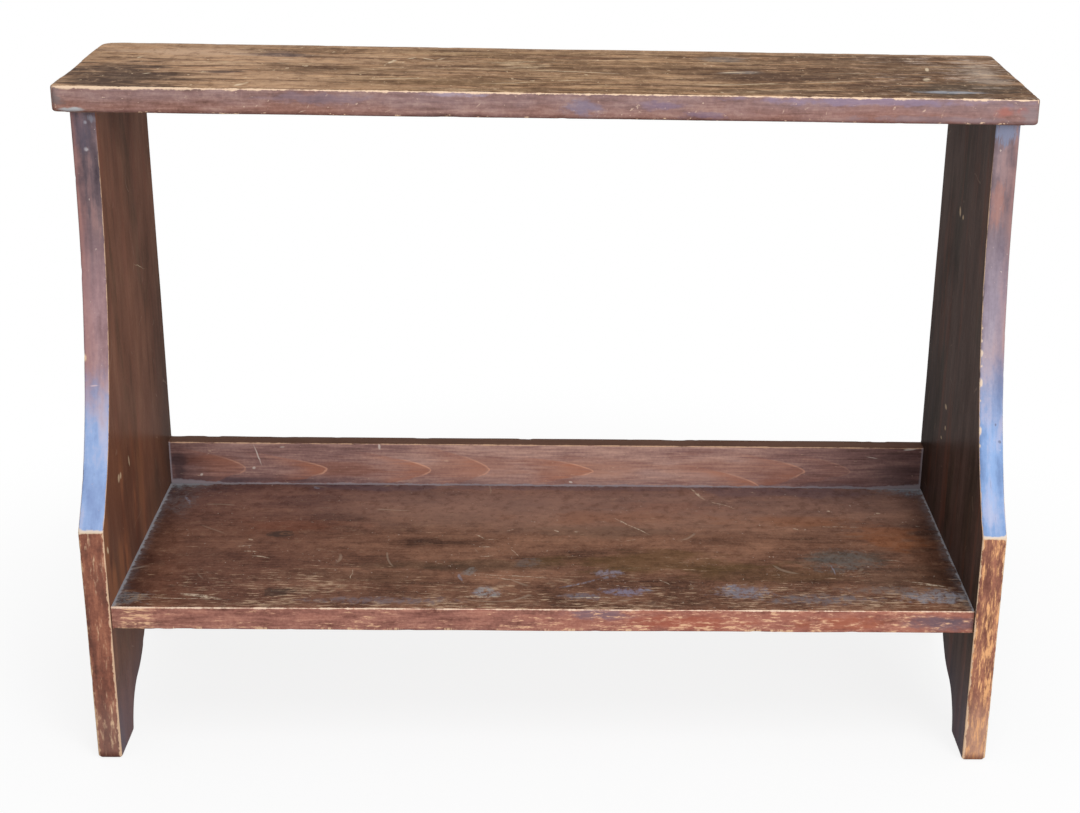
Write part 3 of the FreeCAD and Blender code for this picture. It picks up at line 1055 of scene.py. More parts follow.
@dataclass(frozen=True)
class TopStain(OldStain):
    """The top: worn grey-brown above, with mauve stain left on its front."""

    cream: Colour = "e6c8aa"
    scrapes: tuple[Scratch, ...] = scratched(
        (-322, -54, -312, -30, 7), (-177, 84, -170, 106, 6), (403, 26, 407, 44, 9),
        (415, 84, 418, 108, 5), (-160, 112, -146, 124, 4, 0.8), (-144, 124, -128, 108, 4, 0.8),
        (-128, 108, -112, 126, 4, 0.8), (-452, 92, -446, 110, 5, 0.7), (-428, 4, -420, 14, 6, 0.7),
        (-186, 60, -40, 62, 2.4), (-40, 62, 108, 42, 2.4), (-84, -26, 86, 18, 2.4),
        (-205, -10, -120, 6, 2.6, 0.8), (150, -20, 236, 4, 2.4, 0.8), (184, 60, 214, 66, 5, 0.9),
        (-300, 98, -268, 106, 12, 0.7), (280, 60, 420, 76, 2.6, 0.8), (250, 4, 360, 30, 2.4, 0.7))
    nicked: tuple[Scratch, ...] = scratched(
        (405, 692, 409, 701, 2), (384, 697, 388, 700, 1.8), (354, 700, 357, 703, 2.2),
        (459, 689, 463, 698, 1.3), (-206, 694, -204, 700, 1, 0.8), (49, 692, 52, 696, 2.2),
        (58, 690, 60, 697, 1.2), (83, 695, 87, 698, 1.6), (118, 698, 122, 700, 1.8),
        (-53, 704, -50, 708, 1.6), (-75, 697, -70, 700, 1.4), (11, 704, 13, 709, 1.2),
        (149, 693, 151, 696, 1.6), (240, 694, 242, 699, 1, 0.8), (285, 690, 286, 698, 0.9, 0.8),
        (-168, 690, -160, 693, 1.2, 0.8), (-300, 693, -297, 696, 1.2, 0.8), (-436, 688, -433, 690, 1.8),
        (-258, 687, -248, 691, 1.2, 0.8), (-248, 691, -243, 701, 1.2, 0.8))
    stains: tuple[Blot, ...] = blotted(
        (470, 698, 12, 6, "a86254", 0.55, 0.7), (490, 700, 7, 4, "a25c52", 0.45, 0.5),
        (34, 697, 24, 10, "7a748a", 0.6, 0.8), (118, 701, 28, 6, "7a6c86", 0.5),
        (160, 691, 26, 5, "72647c", 0.5), (-486, 688, 16, 2.6, "b2b6b8", 0.9, 0.3),
        (-502, 700, 8, 10, "746a6a", 0.7), (500, 694, 12, 12, "887a7c", 0.6),
        (-92, 709, 34, 3, "aa9cac", 0.6), (-240, 703, 60, 7, "80707c", 0.5),
        (330, 708, 150, 5, "8a7e9a", 0.5), (400, 690, 100, 4, "84747a", 0.5))
    clouds: tuple[Blot, ...] = blotted(
        (-452, -12, 86, 84, "48342a", 1.0), (-346, 24, 34, 10, "463634", 0.85),
        (-296, 130, 44, 18, "746460", 0.6), (436, -16, 80, 50, "443a30", 0.75),
        (-230, 40, 110, 14, "664e3a", 0.5), (120, 66, 140, 26, "624630", 0.6),
        (250, 40, 90, 34, "4e3628", 0.85), (20, 136, 80, 14, "78543a", 0.6),
        (360, 120, 110, 20, "684e3a", 0.5), (-120, -20, 90, 16, "74583a", 0.5),
        (-400, 140, 90, 26, "c8a68a", 0.6), (-180, -44, 130, 14, "be9674", 0.5),
        (196, 140, 34, 20, "968e86", 0.4), (204, 62, 34, 9, "a09c98", 0.4),
        # The first cloud on the next line, pale blue-grey, is a painted reflection of the sky; the rest
        # are stain.
        (422, -34, 40, 7, "b0b8c4", 0.6), (474, 84, 30, 84, "b8a696", 0.55))

    def marks(self, coats: Coats) -> None:
        """Worn wood above, stained wood in front and a pale arris between.

        Args:
            coats: What is painted.
        """
        graph, spot = coats.graph, coats.spot
        cloud = self.streaks(graph, 0.2, 0.07, 9.0, 4.0, 0.6)
        self._above(coats, cloud)
        self._ahead(coats, cloud)
        side = spot.x.absolute().step(0.5045, 0.507) * (1.0 - spot.up) * (1.0 - spot.front)
        coats.paint(side * (0.35 + cloud * 0.8).clipped(), "705448")
        ripple = self.streaks(graph, 0.014, 0.014, 15.0, 4.0, 0.7)
        reach = 0.0013 + spot.x.step(-0.2, -0.48) * 0.0012 + (ripple - 0.5) * 0.0085
        arris = spot.y.step(-0.06, -0.0635) * spot.z.step(0.7065, 0.7095)
        coats.paint((spot.rim / reach.at_least(0.0003)).step(1.35, 0.7) * arris * 0.9, self.cream,
                    matt=True)

    def _above(self, coats: Coats, cloud: Wire) -> None:
        """Broad worn bands, dark clouds with one painted reflection among them, thin pale lines along the
        grain and scrapes.

        Args:
            coats: What is painted.
            cloud: Noise in broad clouds.
        """
        graph, spot = coats.graph, coats.spot
        top, x = spot.up, spot.x
        left, right = x.step(-0.05, -0.36), x.step(0.02, 0.4)
        band = self.streaks(graph, 0.13, 0.019, 3.0, 6.0, 0.7)
        thin = self.streaks(graph, 0.08, 0.0085, 5.0, 6.0, 0.74)
        short = self.streaks(graph, 0.034, 0.0075, 7.0, 6.0, 0.76)
        flat = graph.bent(x, spot.y, 0.03, 0.005, self.seed)
        ragged = self.streaks(graph, 0.07, 0.018, 11.0, 5.0, 0.68)
        coats.paints(
            top, ((left * 0.8 + (cloud - 0.5) * 2.4).clipped(), 0.75, "c29c7c"),
            ((right * 0.8 + (0.5 - cloud) * 1.8).clipped(), 0.92, "50382a"),
            (band.step(0.49, 0.61), 0.8, "503220"), (thin.step(0.5, 0.62), 0.52, "d2a47c"),
            (short.step(0.53, 0.64), 0.45, "4a2c1e"), (short.step(0.44, 0.34), 0.5, "dcb28c"),
            (short.step(0.47, 0.38) * x.step(0.3, 0.42), 0.5, "d0beb0"),
            (spot.y.step(0.163, 0.187), 0.25 + thin * 0.5, "ba9676"))
        lines = graph.hairs((0.4, 0.07, 0.5), 0.0032, 0.54, 1.0, (0.0, 0.0, 2.0))
        coats.paint(lines * top * short.step(0.54, 0.42) * 0.5, "dcc09c")
        coats.blots(flat, ragged, self.clouds, top * (0.5 + short * 0.75))
        crisp = graph.noise((0.012, 0.016, 0.01), self.seed + 2.0, 5.0, 0.76)
        coats.tint(crisp.step(0.5, 0.38) * top * 0.45, "a69280")
        coats.paints(
            top, (crisp.step(0.55, 0.66), 0.28, "d8b28e"),
            (graph.specks((0.007, 0.014, 0.008), 0.66, 21.0), 0.55, "d8be9c"),
            (graph.scratches(flat, self.scrapes) * ragged.step(0.36, 0.54), 0.75, "e4ceae"))

    def _ahead(self, coats: Coats, cloud: Wire) -> None:
        """Mauve stain with rust below, haze above, dark grain, patches and nicks.

        Args:
            coats: What is painted.
            cloud: Noise in broad clouds.
        """
        graph, spot = coats.graph, coats.spot
        front, x, z = spot.front, spot.x, spot.z
        grain = graph.noise((0.06, FAR, 0.0034), self.seed, 5.0, 0.68)
        wide = graph.noise((0.045, FAR, 0.01), self.seed + 4.0, 6.0, 0.68)
        low = z.step(0.707, 0.689)
        tone = 0.5 + (wide - 0.5) * 1.5 + (grain - 0.5) * 1.1 + spot.grit * 0.7
        coats.ground(front, tone, "5e443d", "8a685f", "b09081")
        rusty = (low * 0.5 + (cloud - 0.5) * 2.2 + (wide - 0.5) * 1.2).clipped()
        coats.paint(rusty * front * 0.45, "986250")
        haze = (1.0 - low) * 0.4 + x.step(0.05, 0.4) * 0.6 + (0.5 - cloud) * 2.0
        coats.paint((haze + (wide - 0.5) * 1.6).clipped() * front * 0.5, "8e7c82")
        upright = graph.bent(x, z, 0.012, 0.0016, self.seed)
        ragged = graph.noise((0.016, FAR, 0.007), self.seed + 8.0, 5.0, 0.68)
        coats.blots(upright, ragged, self.stains, front)
        coats.tint(z.step(0.6905, 0.6855) * front * 0.75, "b0a0a0")
        coats.paints(
            front, (graph.specks((0.006, FAR, 0.0034), 0.67, 31.0), 0.6, "d4b8a4"),
            (graph.scratches(upright, self.nicked) * ragged.step(0.44, 0.6), 0.6, "d6b8a4"))
        chips = graph.noise((0.008, FAR, 0.004), 6.0, 4.0, 0.68) + z.step(0.6915, 0.686) * 0.12 \
            + x.step(0.38, 0.5) * 0.04
        coats.paint(chips.step(0.72, 0.76) * z.step(0.6925, 0.689) * front * 0.8, "debc9c")


@dataclass(frozen=True)
class Sweep:
    """The three tones of one stretch of an end's front edge: dark, usual and pale."""

    dark: Colour
    usual: Colour
    pale: Colour


@dataclass(frozen=True)
class EndStain(OldStain):
    """An end: dark stain inside, and a front edge with a painted blue reflection of the sky on its sweep
    and chips below.

    Attributes:
        high: The front edge under the top.
        middling: The front edge above the bloom.
        flush: The warm colour that shows through there.
        painted_sky_reflection: The painted blue reflection of the sky over the sweep, laid into the
            colour.
        foot: The front edge below its corner.
        veil: The dull colour that lies over the foot's sole.
        sky_reflection_top: The height where the painted sky reflection starts.
        chip: The colour of the streaks there that the stain has left.
        chipped: The noise level over which it has.
        glow: The warm colour low on the inner face: partly stain streaks, partly painted light where the
            lamp falls on the left end's inner face.
        stain_and_painted_glow: How strong that is, with the paler grey and darker patches painted with
            it; partly painted light.
        soled: How much more the foot is chipped.
        worn_arris: How clearly the front edge's own edges are worn.
        scraped: The scratches of the inner face, by y and z.
        dabs: Patches of the front edge, by x and z.
    """

    high: Sweep = Sweep("483e44", "68585c", "8e7878")
    middling: Sweep = Sweep("7a5e60", "9a7c7e", "b89a9a")
    flush: Colour = "a06c62"
    # Painted reflection: the sky's blue on the sweep, in three tones.
    painted_sky_reflection: Sweep = Sweep("7c8eb8", "92a8d0", "b0bad4")
    foot: Sweep = Sweep("543832", "835344", "ad735a")
    chip: Colour = "e6c4a0"
    chipped: float = 0.66
    soled: float = 0.05
    veil: Colour = "7e625a"
    # Where the painted sky reflection starts.
    sky_reflection_top: float = 0.46
    glow: Colour = "9c603c"
    stain_and_painted_glow: float = 0.0
    worn_arris: float = 0.6
    scraped: tuple[Scratch, ...] = ()
    dabs: tuple[Blot, ...] = ()

    def spot(self, graph: Graph) -> Spot:
        """The front is the front edge alone, not what looks ahead in the cut-out or a nail hole.

        Args:
            graph: The material's graph.

        Returns:
            The point.
        """
        spot = super().spot(graph)
        edge = spot.y.step(-0.15, -0.16).at_least(spot.z.step(0.255, 0.262))
        return replace(spot, front=spot.front * edge, ahead=spot.ahead * edge)

    def marks(self, coats: Coats) -> None:
        """The faces' warm streaks and scratches, then the front edge from its top to its foot.

        Args:
            coats: What is painted.
        """
        self._faces(coats)
        self._edge(coats)
        self._foot(coats)

    def _faces(self, coats: Coats) -> None:
        """Red and green-grey clouds, warm streaks low on the inner face that are partly painted light,
        painted shade under the shelf, and scratches.

        Args:
            coats: What is painted.
        """
        graph, spot = coats.graph, coats.spot
        face, y, z = 1.0 - spot.front, spot.y, spot.z
        warm = self.streaks(graph, 0.2, 0.026, 3.0, 4.0, 0.62)
        cloud = self.streaks(graph, 0.16, 0.06, 6.0, 4.0, 0.6)
        coats.tint(cloud.step(0.5, 0.66) * face * 0.6, "beccbe")
        coats.paint(warm.step(0.52, 0.66) * face * 0.3, "7c4836")
        # Partly stain, partly painted light: warm streaks just above the shelf, on the left end only,
        # where the lamp lights that inner face, with darker patches among them.
        low = z.step(0.38, 0.2) * y.step(0.12, -0.06) * z.step(0.15, 0.16)
        inside = spot.x.absolute().step(0.466, 0.4645)
        coats.paint((warm * 0.6 + cloud - 0.3).step(0.45, 0.68) * low * inside * self.stain_and_painted_glow,
                    self.glow)
        coats.tint(cloud.step(0.56, 0.42) * low * inside * (self.stain_and_painted_glow * 0.5), "c8b2ac")
        back = y.step(0.06, 0.17) * z.step(0.6, 0.3)
        coats.tint(back * inside * (0.4 + cloud), "b2b2b0")
        # Painted light: a paler grey low on the left end's inner face.
        coats.paint(z.step(0.42, 0.18) * inside * (cloud * self.stain_and_painted_glow * 0.36), "827672")
        # Painted shade: dark blue-grey low on the inner face, under the shelf.
        coats.paint(z.step(0.12, 0.02) * inside * (cloud * 0.7), "68687c")
        if self.scraped:
            flat = graph.bent(y, z, 0.02, 0.002, self.seed)
            marks = graph.scratches(flat, self.scraped) * (cloud * 1.8).clipped()
            coats.paint(marks * inside * 0.85, "ceb696")
        fine = graph.hairs((0.5, 0.05, 0.05), 0.0007, 0.62, self.seed + 40.0, (60.0, 0.0, 0.0))
        coats.paint(fine * face * 0.22, "a88c78")

    def _edge(self, coats: Coats) -> None:
        """The front edge down to its corner: dull mauve, then a painted blue reflection of the sky on the
        sweep.

        Args:
            coats: What is painted.
        """
        graph, spot = coats.graph, coats.spot
        front, x, z = spot.front, spot.x, spot.z
        gap = x.absolute() - INNER
        long = graph.noise((0.01, FAR, 0.1), self.seed, 3.0, 0.58)
        fine = graph.noise((0.003, FAR, 0.02), self.seed + 3.0, 4.0, 0.66)
        patch = graph.noise((0.02, FAR, 0.04), self.seed + 6.0, 5.0, 0.62)
        tone = 0.5 + (long - 0.5) * 1.2 + (patch - 0.5) * 1.5 + spot.grit * 0.3
        drift = z + (patch - 0.5) * 0.11
        # The third stretch is painted light: the sky's blue reflection on the swept front edge.
        for stretch, mask in ((self.high, front), (self.middling, drift.step(0.6, 0.48) * front),
                              (self.painted_sky_reflection, drift.step(self.sky_reflection_top, 0.35) * front)):
            coats.ground(mask, tone, stretch.dark, stretch.usual, stretch.pale)
            if stretch is self.painted_sky_reflection:
                # Lavender patches and dark specks inside the painted sky reflection.
                reflection_patches = (patch + long * 0.6 - 0.3 + z.step(0.31, 0.37) * 0.03).step(0.52, 0.66)
                coats.paint(reflection_patches * mask * 0.3, "b4acc6")
                coats.paint(fine.step(0.62, 0.72) * mask * 0.35, "686a82")
            if stretch is self.middling:
                outer = gap.step(0.01, 0.026) * 0.6 + (long - 0.5) * 2.2 + (patch - 0.5) * 1.6
                coats.paint(outer.clipped() * front * 0.6, self.flush)
        dots = graph.specks((0.0045, FAR, 0.0045), 0.69, self.seed + 17.0)
        coats.paint(dots * front * 0.5, "dcc8bc")

    def _foot(self, coats: Coats) -> None:
        """The front edge below its corner: streaks of lost stain, a dull sole and pale arrises.

        Args:
            coats: What is painted.
        """
        graph, spot = coats.graph, coats.spot
        front, x, z = spot.front, spot.x, spot.z
        gap = x.absolute() - INNER
        lower, sole = front * z.step(0.2702, 0.268), z.step(0.095, 0.03)
        long = graph.noise((0.008, FAR, 0.08), self.seed + 1.0, 4.0, 0.62)
        patch = graph.noise((0.013, FAR, 0.03), self.seed + 7.0, 5.0, 0.66)
        bits = graph.noise((0.003, FAR, 0.018), self.seed + 12.0, 5.0, 0.7)
        coats.ground(lower, 0.5 + (long - 0.5) * 1.3 + (patch - 0.5) * 1.2 + spot.grit * 0.5,
                     self.foot.dark, self.foot.usual, self.foot.pale)
        coats.paint(sole * lower * (0.2 + patch * 0.7), self.veil)
        bits = bits + sole * self.soled + (patch - 0.5) * 0.4
        coats.paint(bits.step(self.chipped - 0.1, self.chipped) * lower * 0.3, self.chip)
        coats.paint(bits.step(self.chipped, self.chipped + 0.06) * lower * (0.85 - sole * 0.25),
                    self.chip, matt=True, lift=-0.5)
        coats.tint(z.step(0.012, 0.003) * lower * 0.8, "a08880")
        ripple = graph.noise((0.012, FAR, 0.012), self.seed + 15.0, 4.0, 0.7)
        line = (z - 0.2692).absolute() / (0.0014 + (ripple - 0.5) * 0.004
                                          + gap.step(0.021, THICK) * 0.0014).at_least(0.0003)
        seen = spot.ahead.step(0.12, 0.3)
        coats.paint(line.step(1.4, 0.6) * seen * 0.8, "e2ccb2", matt=True)
        below = z.step(0.272, 0.266)
        reach = 0.0008 + below * 0.0005 + sole * 0.0013 + (ripple - 0.5) * (0.003 + below * 0.005)
        inner = (gap / reach.at_least(0.0001)).step(1.3, 0.8) * z.step(0.67, 0.6)
        coats.paint(inner * seen * (self.worn_arris + below * 0.2), "dab898", matt=True)
        outer = ((THICK - gap) / (reach - 0.0002).at_least(0.0001)).step(1.4, 0.7)
        coats.paint(outer * seen * self.worn_arris * z.step(0.44, 0.3), "e0bc96", matt=True)
        flat = graph.bent(x, z, 0.012, 0.0015, self.seed + 2.0)
        coats.blots(flat, bits, self.dabs, spot.ahead.step(0.2, 0.4))


@dataclass(frozen=True)
class ShelfStain(OldStain):
    """The shelf: dark and scuffed above, red-brown in front."""

    dust: Colour = "98989d"
    scuff: Colour = "bea084"

    scrapes: tuple[Scratch, ...] = scratched(
        (77, 68, 122, 18, 1.8), (83, -2, 106, 8, 1.2, 0.9), (-48, 28, -40, 34, 2.4),
        (-84, 16, -68, 4, 2.6), (8, 32, 14, 26, 2.8), (31, 26, 36, 26, 4), (-78, -18, -62, -19, 3, 0.9),
        (-76, 3, -54, 4, 1.2, 0.8), (-44, -20, -31, -44, 1.2, 0.9), (-76, -44, -60, -44, 2.6, 0.9),
        (-84, -90, 14, -104, 1.5), (-74, -98, -22, -108, 1.8, 0.9), (176, 162, 192, 124, 4),
        (192, 124, 230, 96, 1.8, 0.9), (248, 152, 256, 146, 2.6), (314, 44, 376, 46, 1.4),
        (290, 40, 298, 36, 3), (338, 94, 342, 92, 4), (398, 88, 404, 88, 3.4),
        (-354, -21, -336, -18, 2.4, 0.9), (-344, -34, -328, -36, 2), (-334, -46, -314, -52, 2.4),
        (-345, 0, -339, -4, 3.2), (-398, -146, -350, -158, 7), (-455, -156, -330, -160, 1.4, 0.9),
        (-218, -78, -217, -112, 1.4, 0.8), (26, -152, 84, -148, 3, 0.8), (-44, -148, -96, -150, 3.6, 0.9),
        (402, -104, 452, -120, 3, 0.9), (412, -112, 440, -116, 3, 0.9), (120, -96, 140, -120, 1.4, 0.8),
        (386, -46, 410, -50, 1.2, 0.8))
    smears: tuple[Scratch, ...] = scratched(
        (14, -126, 60, -104, 4), (60, -104, 80, -94, 7), (-288, 158, -280, 150, 6),
        (-98, -92, -94, -110, 5), (196, -122, 218, -118, 4, 0.9), (100, -128, 120, -134, 5, 0.9),
        (-84, -140, -62, -136, 4, 0.9), (-440, 130, -428, 96, 5, 0.8), (446, -126, 452, -150, 4, 0.9),
        (322, -60, 326, -90, 3, 0.8))
    clouds: tuple[Blot, ...] = blotted(
        # The first cloud on the next line, a paler oval in the middle towards the back, is a painted
        # sheen.
        (20, 80, 330, 66, "946e5c", 0.48, 0.7), (80, 70, 120, 24, "8e5838", 0.5),
        (150, 100, 110, 20, "905a3e", 0.5), (300, 60, 90, 22, "8c542e", 0.6),
        (-300, 40, 80, 24, "7e482e", 0.55), (404, 20, 52, 36, "925632", 0.6, 1.2),
        (60, 26, 90, 18, "544436", 0.35), (340, -45, 56, 30, "4a423a", 0.7),
        (-60, -70, 160, 18, "564432", 0.45), (120, -60, 130, 34, "604826", 0.5),
        (250, -90, 110, 30, "5c442a", 0.5), (400, -92, 70, 40, "544236", 0.4),
        # On the next two lines, the clouds at y 150 to 160, dark purple-grey along the back, are painted
        # shade in the crease against the lip.
        (-230, -100, 120, 20, "58402e", 0.4), (0, 160, 440, 10, "5c4c58", 0.5),
        (-200, 156, 90, 14, "463a48", 0.7), (300, 150, 130, 18, "4a3a46", 0.7))
    knots: tuple[Blot, ...] = blotted(
        (-310, 14, 19, 13, "42322c", 0.85, 0.4), (-304, 15, 9, 6, "70503e", 0.7, 0.4),
        (-303, 15, 4, 3, "46342e", 0.7, 0.3), (-292, -139, 20, 13, "3a2c26", 0.65, 0.9))
    spills: tuple[Blot, ...] = blotted(
        (68, -88, 18, 10, "867e8a", 0.8), (88, -134, 30, 12, "80788a", 0.9),
        (40, -148, 26, 10, "6e6a74", 0.7), (-66, -140, 18, 14, "929294", 0.8),
        (214, -134, 34, 20, "807c86", 0.85), (430, -144, 44, 20, "8c8a90", 0.8),
        (300, -152, 70, 14, "6e686c", 0.7), (-180, -160, 90, 10, "706266", 0.7),
        (-20, -62, 18, 14, "706a68", 0.35), (-86, -84, 10, 14, "807c78", 0.6),
        (-440, 110, 22, 50, "6c6262", 0.5), (-450, -158, 26, 18, "767a7c", 0.55, 1.2),
        (446, 158, 32, 18, "7a808a", 0.85), (-446, 162, 28, 12, "767c80", 0.85),
        (340, -50, 50, 36, "6c6864", 0.5), (380, -128, 60, 14, "746a66", 0.55))
    rubs: tuple[Blot, ...] = blotted(
        (430, 166, 50, 10, "625660", 0.75, 0.6), (-440, 160, 30, 5, "60423c", 0.6),
        (60, 174, 40, 7, "70626e", 0.6), (150, 166, 70, 9, "9e543e", 0.5),
        (320, 166, 60, 9, "a25c42", 0.5))

    def marks(self, coats: Coats) -> None:
        """Clouds with a painted sheen and painted shade among them, scuffs that thicken to the front,
        dust in the creases and a chipped front.
        """
        self._above(coats)
        self._ahead(coats)

    def _above(self, coats: Coats) -> None:
        """The upper face, with a painted sheen towards the back and painted shade beside the ends and
        along the lip.

        Args:
            coats: What is painted.
        """
        graph, spot = coats.graph, coats.spot
        top, x, y = spot.up, spot.x, spot.y
        near = y.step(-0.03, -0.165)
        flat = graph.bent(x, y, 0.025, 0.004, self.seed)
        ragged = graph.noise((0.06, 0.024, FAR), self.seed, 5.0, 0.68)
        crumbs = graph.noise((0.014, 0.012, FAR), self.seed + 2.0, 6.0, 0.72)
        coats.blots(flat, ragged, self.clouds, top)
        coats.tint(near * top * 0.4, "d6cecc")
        coats.paints(
            top, (x.step(-0.12, -0.34), 0.35, "68423a"),
            # Painted sheen: the next two rows make the back paler and greyer.
            (y.step(-0.02, 0.12) * x.step(-0.36, -0.12), 0.3, "9e7c6c"),
            (y.step(0.0, 0.15), 0.22, "74626a"))
        # Painted shade: darker in the corners beside the ends.
        coats.tint(x.absolute().step(0.415, 0.462) * (0.4 + ragged) * top * 0.9, "96929a")
        fine = self.streaks(graph, 0.02, 0.003, 5.0, 5.0, 0.7)
        gaps = graph.noise((0.07, 0.035, FAR), self.seed + 3.0, 4.0, 0.65)
        coats.paint((fine + near * 0.14 + (gaps - 0.5) * 0.5).step(0.67, 0.75) * top * 0.75,
                    self.scuff)
        coats.tint(fine.step(0.46, 0.34) * (near * 0.7 + 0.3) * top * 0.6, "786c68")
        crisp = graph.noise((0.012, 0.013, FAR), self.seed + 6.0, 5.0, 0.76)
        coats.tint(crisp.step(0.5, 0.38) * top * 0.4, "ac9e96")
        coats.paints(
            top, (crisp.step(0.54, 0.66), 0.22, "a07c64"),
            (graph.specks((0.004, 0.006, FAR), 0.655, 11.0) * ragged.step(0.46, 0.58), 0.55, "c4b4a4"),
            (crumbs.step(0.55, 0.66), 0.16 + near * 0.22, "4a3832"),
            (graph.hairs((0.16, 0.1, 0.5), 0.001, 0.58, 13.0, (0.0, 0.0, -35.0)), 0.35, "aa9682"))
        crumbled = graph.noise((0.006, 0.009, FAR), self.seed + 7.0, 5.0, 0.74)
        broken = crumbled.step(0.38, 0.6)
        coats.blots(flat, crumbs, self.knots, top, 0.2)
        coats.blots(flat, crumbs, self.spills, top * crumbled.step(0.36, 0.58), 0.3)
        coats.paints(top, (graph.scratches(flat, self.smears) * broken, 0.65, "8c8a96"),
                     (graph.scratches(flat, self.scrapes) * broken, 0.85, "ccb8a0"))
        self._dust(coats)

    def _dust(self, coats: Coats) -> None:
        """Lines of dust in the creases beside the ends and the lip.

        Args:
            coats: What is painted.
        """
        graph, spot = coats.graph, coats.spot
        x, y = spot.x, spot.y
        strong = graph.noise((0.01, 0.01, FAR), self.seed + 20.0, 5.0, 0.72)
        corner = x.absolute().step(0.34, 0.46)
        aside, behind = 0.4648 - x.absolute(), 0.1682 - y
        side = aside / (0.0024 + x.step(0.0, -0.1) * 0.001 + (strong - 0.5) * 0.012).at_least(0.0004)
        back = behind / (0.0026 + (strong - 0.5) * 0.014 + corner * 0.005).at_least(0.0006)
        coats.paint(side.at_most(back).step(1.4, 0.7) * spot.up * 0.8, self.dust, matt=True)
        near = aside.step(0.02, 0.0).at_least(behind.step(0.05, 0.0) * corner)
        coats.paint((near * 0.35 + (strong - 0.5) * 1.6).clipped() * near * spot.up * 0.6, self.dust)

    def _ahead(self, coats: Coats) -> None:
        """The front: mauve and rust, dark grain, streaks of lost stain and a cream arris.

        Args:
            coats: What is painted.
        """
        graph, spot = coats.graph, coats.spot
        front, x, z = spot.front, spot.x, spot.z
        grain = graph.noise((0.05, FAR, 0.0034), self.seed, 5.0, 0.68)
        wide = graph.noise((0.045, FAR, 0.009), self.seed + 4.0, 6.0, 0.68)
        tone = 0.5 + (wide - 0.5) * 1.4 + (grain - 0.5) * 0.8 + spot.grit * 0.6
        coats.ground(front, tone, "623c34", "946458", "be8c78")
        coats.paint((x.step(-0.15, 0.2) * 0.5 + (wide - 0.5) * 2.0).clipped() * front * 0.6,
                    "9e5644")
        upright = graph.bent(x, z, 0.012, 0.0016, self.seed)
        ragged = graph.noise((0.016, FAR, 0.006), self.seed + 8.0, 5.0, 0.68)
        coats.blots(upright, ragged, self.rubs, front)
        worn = graph.noise((0.08, FAR, FAR), self.seed + 9.0, 3.0)
        ends = x.step(-0.41, -0.43) * 0.14 - x.step(-0.452, -0.46) * 0.15 \
            + x.step(-0.02, 0.1) * 0.03 - x.step(0.4, 0.42) * 0.04 - 0.02
        bits = graph.noise((0.014, FAR, 0.0028), self.seed + 12.0, 5.0, 0.7)
        bits = bits + ends + (worn - 0.5) * 0.25 + z.step(0.17, 0.158) * 0.03
        coats.paint(bits.step(0.53, 0.61) * front * 0.3, "d6a086")
        coats.paint(bits.step(0.61, 0.67) * front * 0.8, "deb28e", matt=True, lift=-0.5)
        ripple = graph.noise((0.014, FAR, FAR), self.seed + 15.0, 4.0, 0.7)
        reach = (0.0009 + (ripple - 0.5) * 0.006 + x.step(-0.2, -0.45) * 0.0006).at_least(0.0002)
        arris = spot.y.step(-0.1745, -0.177) * z.step(0.1755, 0.1785)
        coats.paint((spot.rim / reach).step(1.35, 0.7) * arris * 0.9, "e8ccb4", matt=True)
        coats.paint(z.step(0.1582, 0.156) * ripple.step(0.55, 0.62) * front * 0.8, "deb894")


@dataclass(frozen=True)
class Tongue:
    """One nested curve of the lip's grain, in millimetres.

    Attributes:
        tip: Its tip's place along the lip and its height.
        blunt: How far behind the tip the curve is 15 mm high.
        strong: How clearly it shows.
    """

    tip: tuple[float, float]
    blunt: float = 60.0
    strong: float = 1.0


